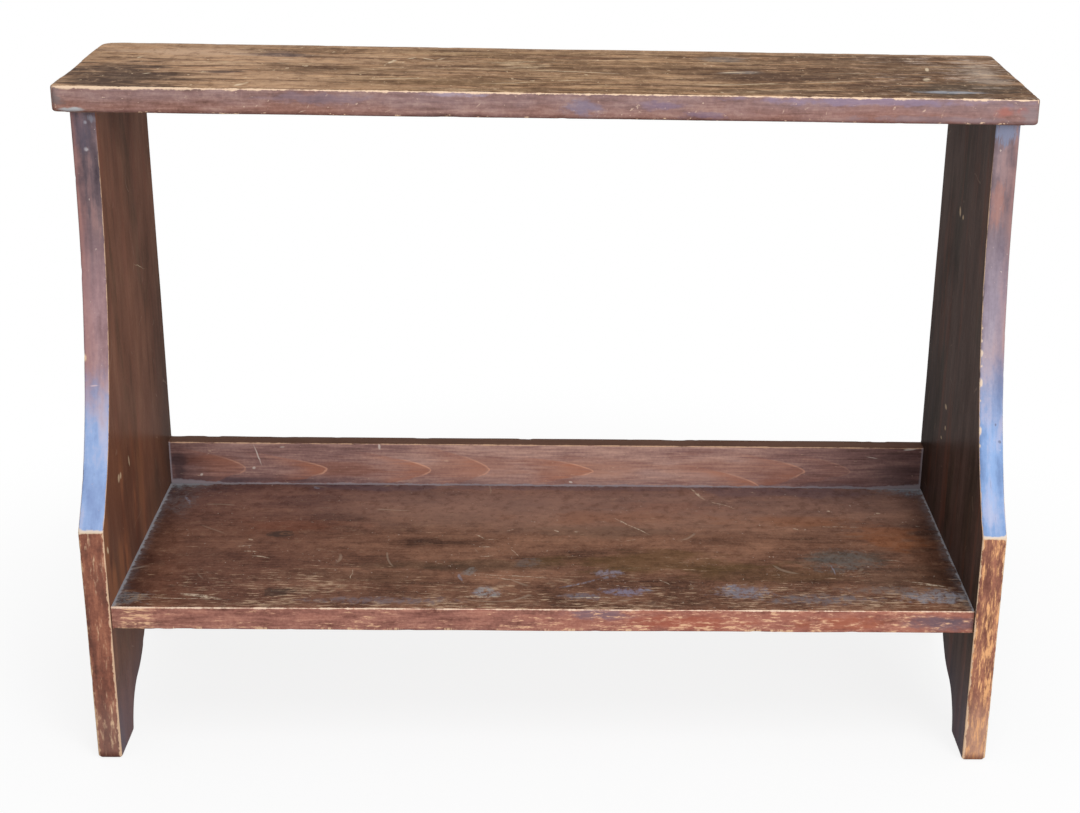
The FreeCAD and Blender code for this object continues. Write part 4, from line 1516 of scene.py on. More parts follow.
@dataclass(frozen=True)
class LipStain(OldStain):
    """The lip: mauve-brown, with the pale tongues of flat-sawn grain."""

    line: Colour = "dea88e"
    inside: Colour = "ba7c62"
    tongues: tuple[Tongue, ...] = (
        Tongue((-372, 200), 30.0, 0.6), Tongue((-270, 198), 46.0, 0.9), Tongue((-144, 199), 40.0),
        Tongue((-73, 200), 24.0, 0.8), Tongue((54, 200), 60.0), Tongue((262, 180), 30.0),
        Tongue((320, 200), 36.0, 0.8), Tongue((372, 203), 36.0, 0.35),
    )
    chips: tuple[Scratch, ...] = scratched(
        (-361, 232, -352, 204, 1.8), (-364, 200, -360, 202, 3.6), (-428, 190, -425, 193, 3),
        (-208, 234, -207, 226, 3), (-330, 228, -322, 229, 1.6, 0.8), (440, 231, 456, 233, 3.4),
        (392, 222, 410, 219, 1.4, 0.8), (25, 186, 30, 184, 3))
    patches: tuple[Blot, ...] = blotted(
        # The dark blue-grey patches at x -454, -400, -320 and 430 are painted shade at the lip's ends and
        # along its foot.
        (-405, 206, 42, 14, "8c5640", 0.45), (-454, 198, 10, 30, "3a3c44", 0.5),
        (-400, 184, 50, 5, "403e4c", 0.6), (-320, 185, 60, 4, "50444e", 0.5),
        (-255, 200, 60, 13, "a66c52", 0.4), (-90, 203, 90, 15, "a87058", 0.35),
        (60, 202, 90, 16, "b0765a", 0.4), (210, 204, 90, 18, "ac745c", 0.35),
        (340, 187, 70, 5, "78504c", 0.4), (430, 200, 34, 20, "464046", 0.4))

    def marks(self, coats: Coats) -> None:
        """Grain, tongues, chips, painted shade at the ends and along the foot, a pale upper arris, a dark
        top and dust at the foot.

        Args:
            coats: What is painted.
        """
        graph, spot = coats.graph, coats.spot
        front, x, z = spot.front, spot.x, spot.z
        middle = x.step(-0.36, -0.1) * x.step(0.38, 0.2)
        hatch = graph.noise((0.045, FAR, 0.0026), self.seed, 4.0, 0.62)
        band = graph.noise((0.1, FAR, 0.014), self.seed + 3.0, 5.0, 0.62)
        tone = 0.5 + middle * 0.22 + (hatch - 0.5) * 0.9 + (band - 0.5) * 1.1 + spot.grit * 0.35
        coats.ground(front, tone, "604946", "977570", "cea798")
        coats.paint(band.step(0.54, 0.66) * front * 0.3, "826a70")
        flat = graph.bent(x, z, 0.012, 0.0012, self.seed)
        coats.blots(flat, band, self.patches, front * (0.4 + hatch))
        self._tongues(coats, hatch)
        # Painted shade: darker at both ends, in the corners against the end boards.
        coats.tint(x.absolute().step(0.4, 0.462) * front * 0.6, "8c7e86")
        # Painted shade: blue-grey, low on the face, in the crease over the shelf.
        coats.tint(z.step(0.196, 0.181) * band.step(0.42, 0.56) * front * 0.6, "928ca0")
        coats.paints(front, (graph.specks((0.01, FAR, 0.0024), 0.69, self.seed + 9.0), 0.6, "dcbca4"),
                     (graph.scratches(flat, self.chips), 0.8, "ded0c6"))
        coats.paint(spot.up * 0.85, "5c4234")
        ripple = graph.noise((0.016, FAR, FAR), self.seed + 15.0, 4.0, 0.7)
        reach = (0.001 + (ripple - 0.5) * 0.005).at_least(0.0002)
        arris = spot.y.step(0.1725, 0.17) * z.step(0.229, 0.2315)
        coats.paint((spot.rim / reach).step(1.35, 0.7) * arris * 0.8, "d8b090", matt=True)
        strong = graph.noise((0.02, FAR, FAR), self.seed + 20.0, 4.0, 0.7)
        ends = x.absolute().step(0.4, 0.46)
        foot = (z - 0.1802) / (0.0014 + ends * 0.003 + (strong - 0.5) * 0.007).at_least(0.0003)
        beside = (0.4645 - x.absolute()) / (0.0019 + (strong - 0.5) * 0.005).at_least(0.0003)
        coats.paint(foot.at_most(beside).step(1.4, 0.7) * front * 0.7, "9c949a", matt=True)

    def _tongues(self, coats: Coats, hatch: Wire) -> None:
        """Nested curves: behind a tip by blunt * (height / 15 mm)^1.6, with a soft glow inside.

        The distance from the curve is the offset along the lip over the length of its gradient,
        and the line fades 0.1 m behind its tip.

        Args:
            coats: What is painted.
            hatch: Noise in thin lines.
        """
        graph, spot = coats.graph, coats.spot
        x, z, front = spot.x, spot.z, spot.front
        sway = graph.noise((0.05, FAR, 0.02), self.seed + 30.0, 3.0, 0.6) - 0.5
        for tongue in self.tongues:
            tip, level = tongue.tip[0] * MM, tongue.tip[1] * MM
            blunt = tongue.blunt * MM
            rise = (z - level + sway * 0.007).absolute() / 0.015
            past = tip - x + sway * 0.016
            behind = past - rise ** 1.6 * blunt
            slope = graph.math("SQRT", 1.0 + (rise ** 0.6 * (1.6 * blunt / 0.015)) ** 2.0)
            line = (behind / slope).absolute().step(0.0014, 0.0003) * past.step(0.055, 0.004) \
                * (z - level).step(-0.013, 0.002).at_least(past.step(0.016, 0.006))
            glow = behind.step(0.075, 0.0) * behind.step(-0.001, 0.004) * past.step(0.11, 0.02)
            coats.paint(glow * front * (hatch * 1.8 - 0.35).clipped() * tongue.strong, self.inside)
            coats.paint(line * front * (hatch * 1.5).at_most(0.9) * tongue.strong, self.line)


@dataclass(frozen=True)
class NailIron:
    """Dark oxidised iron with specks of rust."""

    dark: Colour = "261f1c"
    rust: Colour = "5c3624"

    def material(self, name: str) -> bpy.types.Material:
        """Build the finish: rust in patches on forged, uneven iron.

        Args:
            name: The material's name.

        Returns:
            The material.
        """
        graph = Graph(bpy.data.materials.new(name))
        patch = graph.noise((0.0011, 0.0011, 0.0011), 0.0, 4.0, 0.65).step(0.45, 0.66)
        pit = graph.noise((0.0004, 0.0004, 0.0004), 0.0, 3.0, 0.6)
        colour = graph.blend(patch, graph.colour(self.dark), graph.colour(self.rust))
        return graph.finish(colour, 0.5 + patch * 0.3, graph.bump(pit, 0.5, 0.0003), metal=0.35)


# ---- Boards ----
@dataclass
class Board:
    """One board of the bench, in metres in the bench's frame.

    Attributes:
        name: The piece's name.
        node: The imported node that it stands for.
        slot: The material slot that its finish belongs to.
        finish: Its finish.
        wear: How its surface is worn.
    """

    name: str
    node: str
    slot: str
    finish: OldStain
    wear: Wear

    def shape(self) -> Shell:
        """Work out the board's unworn surface."""
        raise NotImplementedError

    def seated(self, shell: Shell) -> np.ndarray:
        """Which vertices lie in a joint, where nothing wears."""
        raise NotImplementedError

    def finishing_cuts(self, shell: Shell) -> None:
        """Shape what the wear leaves as it is."""

    def build(self) -> bpy.types.Object:
        """Make the worn and dressed board and fit it in the frame.

        Returns:
            The board's object.
        """
        shell = self.shape()
        held = self.seated(shell)
        kept = shell.points[held]
        self.wear.apply(shell)
        shell.points[held] = kept
        self.finishing_cuts(shell)
        thing = shell.to_object(self.name)
        thing.data.set_sharp_from_angle(angle=math.radians(48.0))
        thing.data.materials.append(self.finish.material(self.slot))
        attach(thing, "root")
        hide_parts(self.node)
        log.info("%s: %d faces", self.name, len(thing.data.polygons))
        return thing


@dataclass
class Plank(Board):
    """A straight board along the bench, in millimetres.

    Attributes:
        low: Its lowest corner.
        high: Its highest corner.
        pitch: The spacing of its grid lines along x, y and z.
        arris: The radius of its edges.
    """

    low: Triple
    high: Triple
    pitch: Triple
    arris: float = 2.0

    def plank(self, ends: bool, *extra: np.ndarray | None) -> Shell:
        """The rounded plank, with more grid lines for each axis if given."""
        low, high, pitch = (np.array(size) * MM for size in (self.low, self.high, self.pitch))
        return rounded_plank(low, high, pitch, self.arris * MM, ends, extra)


@dataclass
class TopBoard(Plank):
    """The top: a plank with rounded corners and a left end that was sawn a little wavy.

    Attributes:
        front_corner: The radius of its front corners.
        back_corners: The radii of its left and right rear corners.
        end_span: From where to where, off the middle, its underside lies on an end.
    """

    low: Triple = (-508.0, -66.0, 685.0)
    high: Triple = (508.0, 191.0, 712.0)
    pitch: Triple = (2.7, 2.6, 3.2)
    front_corner: float = 8.0
    back_corners: tuple[float, float] = (18.0, 9.0)
    end_span: tuple[float, float] = (462.0, 492.0)

    def shape(self) -> Shell:
        """A rounded plank, then its four upright corners, then the wave of its left end.

        Returns:
            The board's unworn surface.
        """
        shell = self.plank(True)
        for x, way, back in zip((self.low[0], self.high[0]), (1.0, -1.0), self.back_corners):
            for y, inward, radius in ((self.low[1], 1.0, self.front_corner), (self.high[1], -1.0, back)):
                round_corner(shell, np.array([x, y]) * MM, np.array([way, inward]), (0, 1), radius * MM)
        x, y = shell.points[:, 0], shell.points[:, 1]
        wave = 0.8 * MM * (1.0 + np.sin(y / 0.031 + 0.8)) * ramped(-x, 0.42, 0.508)
        shell.points[:, 0] += wave
        return shell

    def seated(self, shell: Shell) -> np.ndarray:
        """The strips of the underside that lie on the ends.

        Args:
            shell: The board's surface.

        Returns:
            True for each vertex in a joint.
        """
        across = np.abs(shell.points[:, 0]) / MM
        under = shell.points[:, 2] < (self.low[2] + 0.01) * MM
        return under & (across > self.end_span[0]) & (across < self.end_span[1])


@dataclass
class Shelf(Plank):
    """The shelf: a plank whose ends are tongues, cut back beside its front corners.

    Attributes:
        shoulder: How far off the middle the ends' inner faces are.
        stop: Where a tongue starts, from front to back.
        play: How far before that the shoulder ends.
        base: How far off the middle the ends start to be drawn in.
    """

    low: Triple = (-471.9, -180.2, 153.5)
    high: Triple = (471.9, 167.5, 180.5)
    pitch: Triple = (2.9, 2.9, 3.2)
    shoulder: float = 464.0
    stop: float = -164.2
    play: float = 0.3
    base: float = 440.0

    def shape(self) -> Shell:
        """A plank with rounded front edges, its front corners drawn in to the shoulders.

        Past the base, x goes to base + (x - base) * share, where the share takes the plank's end
        to the shoulder in front of the stop and leaves it behind the stop.

        Returns:
            The board's unworn surface.
        """
        shell = self.plank(False, None, np.array([self.stop - self.play, self.stop]) * MM)
        x, y = shell.points[:, 0], shell.points[:, 1]
        base = self.base * MM
        share = np.where(y < (self.stop - 0.5 * self.play) * MM,
                         (self.shoulder * MM - base) / (self.high[0] * MM - base), 1.0)
        outer = np.abs(x) > base
        shell.points[outer, 0] = (np.sign(x) * (base + (np.abs(x) - base) * share))[outer]
        return shell

    def seated(self, shell: Shell) -> np.ndarray:
        """The tongues, the shoulders and the back face that the lip is nailed to."""
        x, y = np.abs(shell.points[:, 0]) / MM, shell.points[:, 1] / MM
        return (x > self.shoulder - 0.01) | (y > self.high[1] - 0.5)


@dataclass
class Lip(Plank):
    """The lip: a narrow board on edge, its back dented round five nails.

    Attributes:
        nails: The nails' places along the bench.
        nail_height: Their height.
    """

    low: Triple = (-464.0, 167.5, 153.5)
    high: Triple = (464.0, 191.0, 234.0)
    pitch: Triple = (2.6, 3.0, 2.6)
    nails: tuple[float, ...] = (-368.0, -184.0, 0.0, 184.0, 368.0)
    nail_height: float = 167.0

    def shape(self) -> Shell:
        """A plank with rounded long edges and finer faces round the nails.

        Returns:
            The board's unworn surface.
        """
        window = np.arange(-6.0, 6.01, 1.0)
        beside = np.concatenate([nail + window for nail in self.nails]) * MM
        return self.plank(False, beside, None, (self.nail_height + window) * MM)

    def seated(self, shell: Shell) -> np.ndarray:
        """Both end faces and the face against the shelf."""
        x, y, z = (np.abs(shell.points) / MM).T
        return (x > self.high[0] - 0.01) | ((y < self.low[1] + 0.01) & (z < 180.0))

    def finishing_cuts(self, shell: Shell) -> None:
        """Sink the five nails' holes.

        Args:
            shell: The board's surface.
        """
        heads = [(nail, self.high[1], self.nail_height) for nail in self.nails]
        sink_heads(shell, np.array(heads) * MM, np.array([0.0, 1.0, 0.0]),
                   np.array([3.7, 9.0, 2.6]) * MM)


def runs(*legs: tuple[float, float], end: float) -> np.ndarray:
    """Grid lines in stretches, each evenly divided.

    Args:
        legs: Where each stretch starts and about how far apart its lines are.
        end: Where the last stretch ends.

    Returns:
        The lines' places, first and last ones included.
    """
    starts = [start for start, _ in legs] + [end]
    parts = [np.linspace(start, stop, max(int(round((stop - start) / pitch)), 1) + 1)[:-1]
             for (start, pitch), stop in zip(legs, starts[1:])]
    return np.append(np.concatenate(parts), end)


def arc_points(centre: tuple[float, float], radius: float, start: float, end: float) -> np.ndarray:
    """Sixty points on an arc between two angles in radians, one row each."""
    turn = np.linspace(start, end, 60)
    return np.stack([centre[0] + radius * np.cos(turn), centre[1] + radius * np.sin(turn)], -1)


def distance_to_path(spots: np.ndarray, path: np.ndarray) -> np.ndarray:
    """The distance from each spot to the nearest point of a path of straight pieces.

    On each piece the nearest point is the start plus the clipped projection's share of the piece.

    Args:
        spots: One spot in each row.
        path: The path's corners, one in each row.

    Returns:
        One distance for each spot.
    """
    start, piece = path[:-1], np.diff(path, axis=0)
    square = np.maximum((piece ** 2).sum(axis=1), 1e-12)
    nearest = np.empty(len(spots))
    for block in range(0, len(spots), 2000):
        part = spots[block:block + 2000, None, :] - start
        share = np.clip((part * piece).sum(axis=2) / square, 0.0, 1.0)
        away = part - share[..., None] * piece
        nearest[block:block + 2000] = np.sqrt((away ** 2).sum(axis=2).min(axis=1))
    return nearest


@dataclass
class EndBoard(Board):
    """An end: a board with a swept front edge, two scrolled feet and a stopped housing.

    Lengths are in millimetres.  The board is drawn in its own plane, y across and z up, and its
    middle plane stands at the middle of its thickness.

    Attributes:
        side: -1 for the left end and 1 for the right one.
    """

    side: int = -1
    inner: float = 464.0
    outer: float = 490.5
    half_depth: float = 191.0
    crest: float = 685.0
    toe: float = 5.0
    outer_sole: float = 4.5
    inner_sole: float = 3.0
    arris: float = 2.0
    corner: tuple[float, float] = (-184.4, 269.0)
    sweep: tuple[tuple[float, float], ...] = ((-103.47, 352.8), (-60.7, 489.0), (-60.7, 685.0))
    crown_top: float = 95.0
    housing: tuple[float, float, float, float] = (-164.3, 167.6, 153.4, 180.6)
    housing_depth: float = 8.0
    play: float = 0.3
    shelf_nails: tuple[float, ...] = (-128.2, -6.35, 115.5)
    shelf_nail_height: float = 167.0
    lip_nail: float = 179.25
    lip_nail_heights: tuple[float, ...] = (172.5, 215.0)

    def front(self, height: np.ndarray) -> np.ndarray:
        """The front edge's y: a leaning line, a small round at the corner, then the sweep.

        The sweep is the cubic curve of its four poles and the round the quadratic one between
        points 1 mm before and after the corner.

        Args:
            height: Heights, in millimetres.

        Returns:
            The y at each height.
        """
        corner = np.array(self.corner)
        t = np.linspace(0.0, 1.0, 400)[:, None]
        poles = np.array([self.corner, *self.sweep])
        sweep = ((1 - t) ** 3 * poles[0] + 3 * t * (1 - t) ** 2 * poles[1]
                 + 3 * t ** 2 * (1 - t) * poles[2] + t ** 3 * poles[3])
        foot = np.array([-self.half_depth, 0.0])
        before = corner + (foot - corner) / np.linalg.norm(foot - corner) * 1.1
        after = corner + (poles[1] - corner) / np.linalg.norm(poles[1] - corner) * 1.1
        turn = np.linspace(0.0, 1.0, 7)[:, None]
        bend = (1 - turn) ** 2 * before + 2 * turn * (1 - turn) * corner + turn ** 2 * after
        line = np.concatenate([foot[None], bend, sweep[sweep[:, 1] > after[1]]])
        return np.interp(height, line[:, 1], line[:, 0])

    def cut(self) -> np.ndarray:
        """The front half of the cut-out from the floor to its crown: scroll, hollow and crown.

        Returns:
            Its points, one in each row.
        """
        scroll = arc_points((-70.726, -5.0), 55.5, 3.0514, 1.8063)
        hollow = arc_points((-105.611, 140.373), 94.0, 4.9479, 5.5754)
        crown = arc_points((0.0, 50.0), 45.0, 2.4338, math.pi / 2.0)
        return np.concatenate([scroll, hollow[1:], crown[1:]])

    def toe_inset(self, height: np.ndarray) -> np.ndarray:
        """How far the round toe stands back from a foot's side: r - sqrt(r^2 - (r - z)^2)."""
        rise = np.clip(self.toe - height, 0.0, self.toe)
        return self.toe - np.sqrt(self.toe ** 2 - rise ** 2)

    def stations(self) -> tuple[np.ndarray, np.ndarray]:
        """Grid lines up to the crown and past it, at the height of the crown.

        Returns:
            Places of the front foot's lines and of the rear foot's, both with the line at 0.
        """
        rim = self.arris * (1.0 - np.sin(np.radians([90.0, 67.5, 45.0, 22.5, 0.0])))
        front, stop = float(self.front(np.array(self.crown_top))), self.housing[0]
        nails, back = self.shelf_nails, self.housing[1]
        before = np.concatenate([
            front + rim[:-1],
            runs((front + rim[-1], 1.1), (front + 7.0, 2.6), end=stop - self.play),
            runs((stop, 4.0), (nails[0] - 6.0, 1.4), (nails[0] + 6.0, 4.2), (nails[1] - 6.0, 1.4),
                 end=-rim[-1]),
            -rim[:-1][::-1]])
        half = self.half_depth
        after = np.concatenate([
            rim[:-1],
            runs((rim[-1], 4.2), (nails[2] - 6.0, 1.4), (nails[2] + 6.0, 4.2), end=back),
            runs((back + self.play, 2.0), (self.lip_nail - 6.0, 1.4), (self.lip_nail + 6.0, 1.8),
                 end=half - rim[-1]),
            half - rim[:-1][::-1]])
        return before, after

    def levels(self) -> tuple[np.ndarray, np.ndarray]:
        """Heights of the grid lines across the feet and above them.

        Returns:
            Both lists of heights.
        """
        cut = self.cut()
        walked = np.append(0.0, np.cumsum(np.linalg.norm(np.diff(cut, axis=0), axis=1)))
        first = np.interp(self.toe, cut[:, 1], walked)
        feet = np.interp(np.linspace(first, walked[-1], 62), walked, cut[:, 1])
        sole = self.toe * (1.0 - np.cos(np.radians(np.arange(0.0, 90.0, 15.0))))
        bottom, top = self.housing[2:]
        corner, nail = self.corner[1], self.lip_nail_heights[1]
        above = np.concatenate([
            self.crown_top + self.arris * np.array([0.0, 0.07, 0.29, 0.62]),
            runs((self.crown_top + self.arris, 1.5), (self.crown_top + 8.0, 3.4),
                 end=bottom - self.play),
            runs((bottom, 3.4), (161.0, 1.3), end=top),
            runs((top + self.play, 3.2), (nail - 6.0, 1.3), (nail + 6.0, 3.2), (corner - 5.0, 1.3),
                 (corner - 1.1, 0.55), (corner + 1.1, 1.3), (corner + 5.0, 3.6),
                 (self.crest - 4.0, 1.6), end=self.crest)])
        return np.append(sole, feet), above

    def outline_patches(self) -> list[np.ndarray]:
        """The board's face as three grids of y and z: the two feet and what stands on them.

        Returns:
            The front foot, the rear foot and the body.
        """
        before, after = self.stations()
        feet, above = self.levels()
        stop, back, rim = self.housing[0], self.housing[1], self.arris

        def spread(stations: np.ndarray, start: np.ndarray, end: np.ndarray) -> np.ndarray:
            """Carry stations linearly to a start and an end for each row."""
            share = (stations - stations[0]) / (stations[-1] - stations[0])
            return start[:, None] + share * (end - start)[:, None]

        def grid(across: np.ndarray, heights: np.ndarray) -> np.ndarray:
            """Pair each row's places with its height."""
            return np.stack([across, np.broadcast_to(heights[:, None], across.shape)], -1)

        def body_rows(heights: np.ndarray) -> tuple[np.ndarray, np.ndarray]:
            """The front strip's start and end at each height.

            Args:
                heights: The rows' heights.

            Returns:
                The starts and the ends.
            """
            edge = self.front(heights)
            lean = self.front(np.array(self.corner[1]))
            return edge, np.maximum(stop - self.play, edge + (stop - self.play - lean))

        cut = self.cut()
        opening = np.interp(feet, cut[:, 1], cut[:, 0])
        inset = self.toe_inset(feet)
        strip = before <= stop - self.play + 1e-9
        near = before >= -rim - 1e-9
        wide = np.full_like(feet, stop)
        front_foot = np.concatenate([
            spread(before[strip], self.front(feet) + inset, wide - self.play),
            spread(before[~strip & ~near], wide, opening - inset
                   - (before[near][0] - before[~strip & ~near][-1]) - rim),
            opening[:, None] - inset[:, None] + before[near]], axis=1)
        low = after <= rim + 1e-9
        rear_foot = np.concatenate([
            inset[:, None] - opening[:, None] + after[low],
            spread(after[~low & (after <= back)],
                   inset - opening + rim + (after[~low][0] - after[low][-1]),
                   np.full_like(feet, back)),
            spread(after[after > back], np.full_like(feet, back + self.play),
                   self.half_depth - inset)], axis=1)
        stations = np.concatenate([before, after[1:]])
        edge, broken = body_rows(above)
        middle = (stations > stop - self.play + 1e-9) & (stations <= back)
        body = np.concatenate([
            spread(stations[stations <= stop - self.play + 1e-9], edge, broken),
            spread(stations[middle], broken + self.play, np.full_like(above, back)),
            np.broadcast_to(stations[stations > back], (len(above), (stations > back).sum()))],
            axis=1)
        return [grid(front_foot, feet), grid(rear_foot, feet), grid(body, above)]

    def shape(self) -> Shell:
        """Two faces of three grids and a band round them.

        Near the outline a face drops by r - sqrt(r^2 - (r - d)^2), where d is the distance to the
        outline and r the arris radius.  The crest, which meets the top board, stays sharp.

        Returns:
            The board's unworn surface.
        """
        front_foot, rear_foot, body = self.outline_patches()
        sides = [front_foot[:, 0], body[1:, 0]]
        crest = [body[-1, 1:]]
        rest = [body[::-1, -1][1:], rear_foot[::-1, -1][1:], rear_foot[0, ::-1][1:],
                rear_foot[1:, 0], front_foot[::-1, -1][1:], front_foot[0, ::-1][1:]]
        loop = np.concatenate(sides + crest + rest)
        open_path = np.concatenate(rest + sides)
        open_path = np.concatenate([body[-1:, -1], open_path])
        half = (self.outer - self.inner) / 2.0

        def drop(spots: np.ndarray) -> tuple[np.ndarray, np.ndarray]:
            """How far the face drops at each spot, and the spot's distance from the outline.

            Args:
                spots: Places in y and z.

            Returns:
                The fall and the distance.
            """
            away = distance_to_path(spots.reshape(-1, 2), open_path).reshape(spots.shape[:-1])
            rise = np.clip(self.arris - away, 0.0, self.arris)
            return self.arris - np.sqrt(self.arris ** 2 - rise ** 2), away

        patches, middles = [], []
        for patch in (front_foot, rear_foot, body):
            fall, _ = drop(patch)
            for face in (-1, 1):
                x = face * (half - fall)
                if face == -self.side:
                    x = x - face * self.housing_depth * self._in_housing(patch)
                patches.append(np.concatenate([x[..., None], patch], -1))
                middles.append([0.0, patch[..., 0].mean(), patch[..., 1].mean()])
        ring = np.concatenate([loop, loop[:1]])
        fall, _ = drop(ring)
        share = np.array([-1.0, -0.93, -0.8, -0.6, -0.4, -0.2, 0.0, 0.2, 0.4, 0.6, 0.8, 0.93, 1.0])
        x = (half - fall)[:, None] * share
        band = np.concatenate([x[..., None], np.broadcast_to(ring[:, None], (*x.shape, 2))], -1)
        patches.append(band)
        middles.append([0.0, 0.0, 300.0])
        shell = weld([patch * MM for patch in patches], np.array(middles) * MM)
        face_gap = half - np.abs(shell.points[:, 0]) / MM
        away = distance_to_path(shell.points[:, 1:] / MM, open_path)
        shell.rim = np.maximum(face_gap, away) * MM
        shell.points[:, 0] += self.side * (self.outer + self.inner) / 2.0 * MM
        for x, way, radius in ((self.outer, -1.0, self.outer_sole), (self.inner, 1.0, self.inner_sole)):
            round_corner(shell, np.array([self.side * x * MM, 0.0]), np.array([self.side * way, 1.0]),
                         (0, 2), radius * MM)
        return shell

    def _in_housing(self, patch: np.ndarray) -> np.ndarray:
        """1 where a face's point lies over the housing and 0 elsewhere.

        Args:
            patch: A grid of y and z.

        Returns:
            One number for each point.
        """
        front, back, low, high = self.housing
        y, z, slack = patch[..., 0], patch[..., 1], 1e-6
        return ((y > front - slack) & (y < back + slack) & (z > low - slack)
                & (z < high + slack)).astype(float)

    def seated(self, shell: Shell) -> np.ndarray:
        """The crest under the top board, and the housing and what the lip's end covers.

        Args:
            shell: The board's surface.

        Returns:
            True for each vertex in a joint.
        """
        x, y, z = shell.points.T / MM
        depth = np.abs(x) - self.inner
        joint = (depth < self.housing_depth + 0.01) & (y > self.housing[0] - 2.0) \
            & (z > self.housing[2] - 2.0) & (z < 235.0) & ((z < 183.0) | (y > 166.0)) \
            & (y < self.half_depth - self.arris)
        return (z > self.crest - 0.01) | joint

    def finishing_cuts(self, shell: Shell) -> None:
        """Sink the holes of the nails that go through into the shelf and the lip.

        Args:
            shell: The board's surface.
        """
        spots = [(nail, self.shelf_nail_height) for nail in self.shelf_nails]
        spots += [(self.lip_nail, height) for height in self.lip_nail_heights]
        heads = [(self.side * self.outer, *spot) for spot in spots]
        sink_heads(shell, np.array(heads) * MM, np.array([float(self.side), 0.0, 0.0]),
                   np.array([9.0, 2.6, 3.7]) * MM)


# ---- Studio ----
@dataclass(frozen=True)
class Viewpoint:
    """Where the camera stands and how it is turned, angles in degrees."""

    place: Triple = (0.01051, -2.05124, 1.10245)
    down: float = 22.970221
    right: float = 2.143421
    roll: float = 1.252396
    lens: float = 64.497
    shift: tuple[float, float] = (-0.07714, 0.08657)

    def build(self) -> bpy.types.Object:
        """Make the scene's camera: three unit vectors of its turn are its matrix's columns.

        Returns:
            The camera.
        """
        down, aside, roll = (math.radians(angle) for angle in (self.down, self.right, self.roll))
        look = Vector((math.sin(aside) * math.cos(down), math.cos(aside) * math.cos(down),
                       -math.sin(down)))
        level = Vector((math.cos(aside), -math.sin(aside), 0.0))
        rise = level.cross(look)
        across = math.cos(roll) * level + math.sin(roll) * rise
        up = math.cos(roll) * rise - math.sin(roll) * level
        data = bpy.data.cameras.new("viewpoint")
        data.sensor_width, data.lens = 36.0, self.lens
        data.shift_x, data.shift_y = self.shift
        camera = bpy.data.objects.new("viewpoint", data)
        turn = Matrix((across, up, -look)).transposed().to_4x4()
        camera.matrix_world = Matrix.Translation(self.place) @ turn
        bpy.context.scene.collection.objects.link(camera)
        bpy.context.scene.camera = camera
        return camera


@dataclass(frozen=True)
class Lamp:
    """A square soft lamp."""

    name: str
    place: Triple
    target: Triple
    wide: float
    watts: float
    colour: Triple = (1.0, 1.0, 1.0)

    def build(self) -> bpy.types.Object:
        """Hang the lamp and turn it to its target.

        Returns:
            The lamp.
        """
        data = bpy.data.lights.new(self.name, "AREA")
        data.shape, data.size, data.energy = "SQUARE", self.wide, self.watts
        data.color = self.colour
        lamp = bpy.data.objects.new(self.name, data)
        lamp.location = self.place
        way = Vector(self.target) - Vector(self.place)
        lamp.rotation_euler = way.to_track_quat("-Z", "Y").to_euler()
        bpy.context.scene.collection.objects.link(lamp)
        return lamp


@dataclass
class Studio:
    """A pale floor and plain soft light."""

    lamps: tuple[Lamp, ...] = (
        Lamp("sky_lamp", (0.4, -1.6, 3.0), (0.0, 0.0, 0.3), 1.6, 50.0, (0.95, 0.97, 1.0)),
        Lamp("front_lamp", (1.9, -2.9, 1.6), (-0.1, 0.1, 0.3), 1.6, 42.0),
    )
    fill: float = 0.5
    floor_span: float = 30.0
    floor_glow: float = 0.85

    def build(self) -> None:
        """Set the colours' view, then make the lamps, the sky and the floor."""
        bpy.context.scene.view_settings.view_transform = "Standard"
        for lamp in self.lamps:
            lamp.build()
        self._sky()
        self._floor()

    def _sky(self) -> None:
        """White to the camera and in reflections, and a weaker even light on the bench."""
        world = bpy.data.worlds.new("pale_sky")
        bpy.context.scene.world = world
        graph = Graph(world)
        glow = graph.add("ShaderNodeBackground", None,
                         {"Color": (1.0, 1.0, 1.0, 1.0),
                          "Strength": self.fill + graph.shown() * (1.0 - self.fill)})
        graph.add("ShaderNodeOutputWorld", None, {"Surface": graph.wire(glow, 0)})

    def _floor(self) -> None:
        """A wide plane that is partly lit by itself to the camera, so that its shadow stays."""
        half = self.floor_span / 2.0
        mesh = bpy.data.meshes.new("floor")
        mesh.from_pydata([(-half, -half, 0), (half, -half, 0), (half, half, 0), (-half, half, 0)],
                         [], [(0, 1, 2, 3)])
        floor = bpy.data.objects.new("floor", mesh)
        bpy.context.scene.collection.objects.link(floor)
        graph = Graph(bpy.data.materials.new("pale_floor"))
        matt = graph.add("ShaderNodeBsdfDiffuse", None, {"Color": (0.9, 0.9, 0.9, 1.0)})
        glow = graph.add("ShaderNodeEmission", None, {"Strength": 1.0})
        x, y, _ = graph.place()
        far = graph.math("SQRT", x * x + y * y).step(0.45, 1.1)
        both = graph.add("ShaderNodeMixShader", None,
                         {0: graph.shown() * (self.floor_glow + far * (1.0 - self.floor_glow)),
                          1: graph.wire(matt, 0), 2: graph.wire(glow, 0)})
        graph.add("ShaderNodeOutputMaterial", None, {"Surface": graph.wire(both, 0)})
        mesh.materials.append(graph.owner)


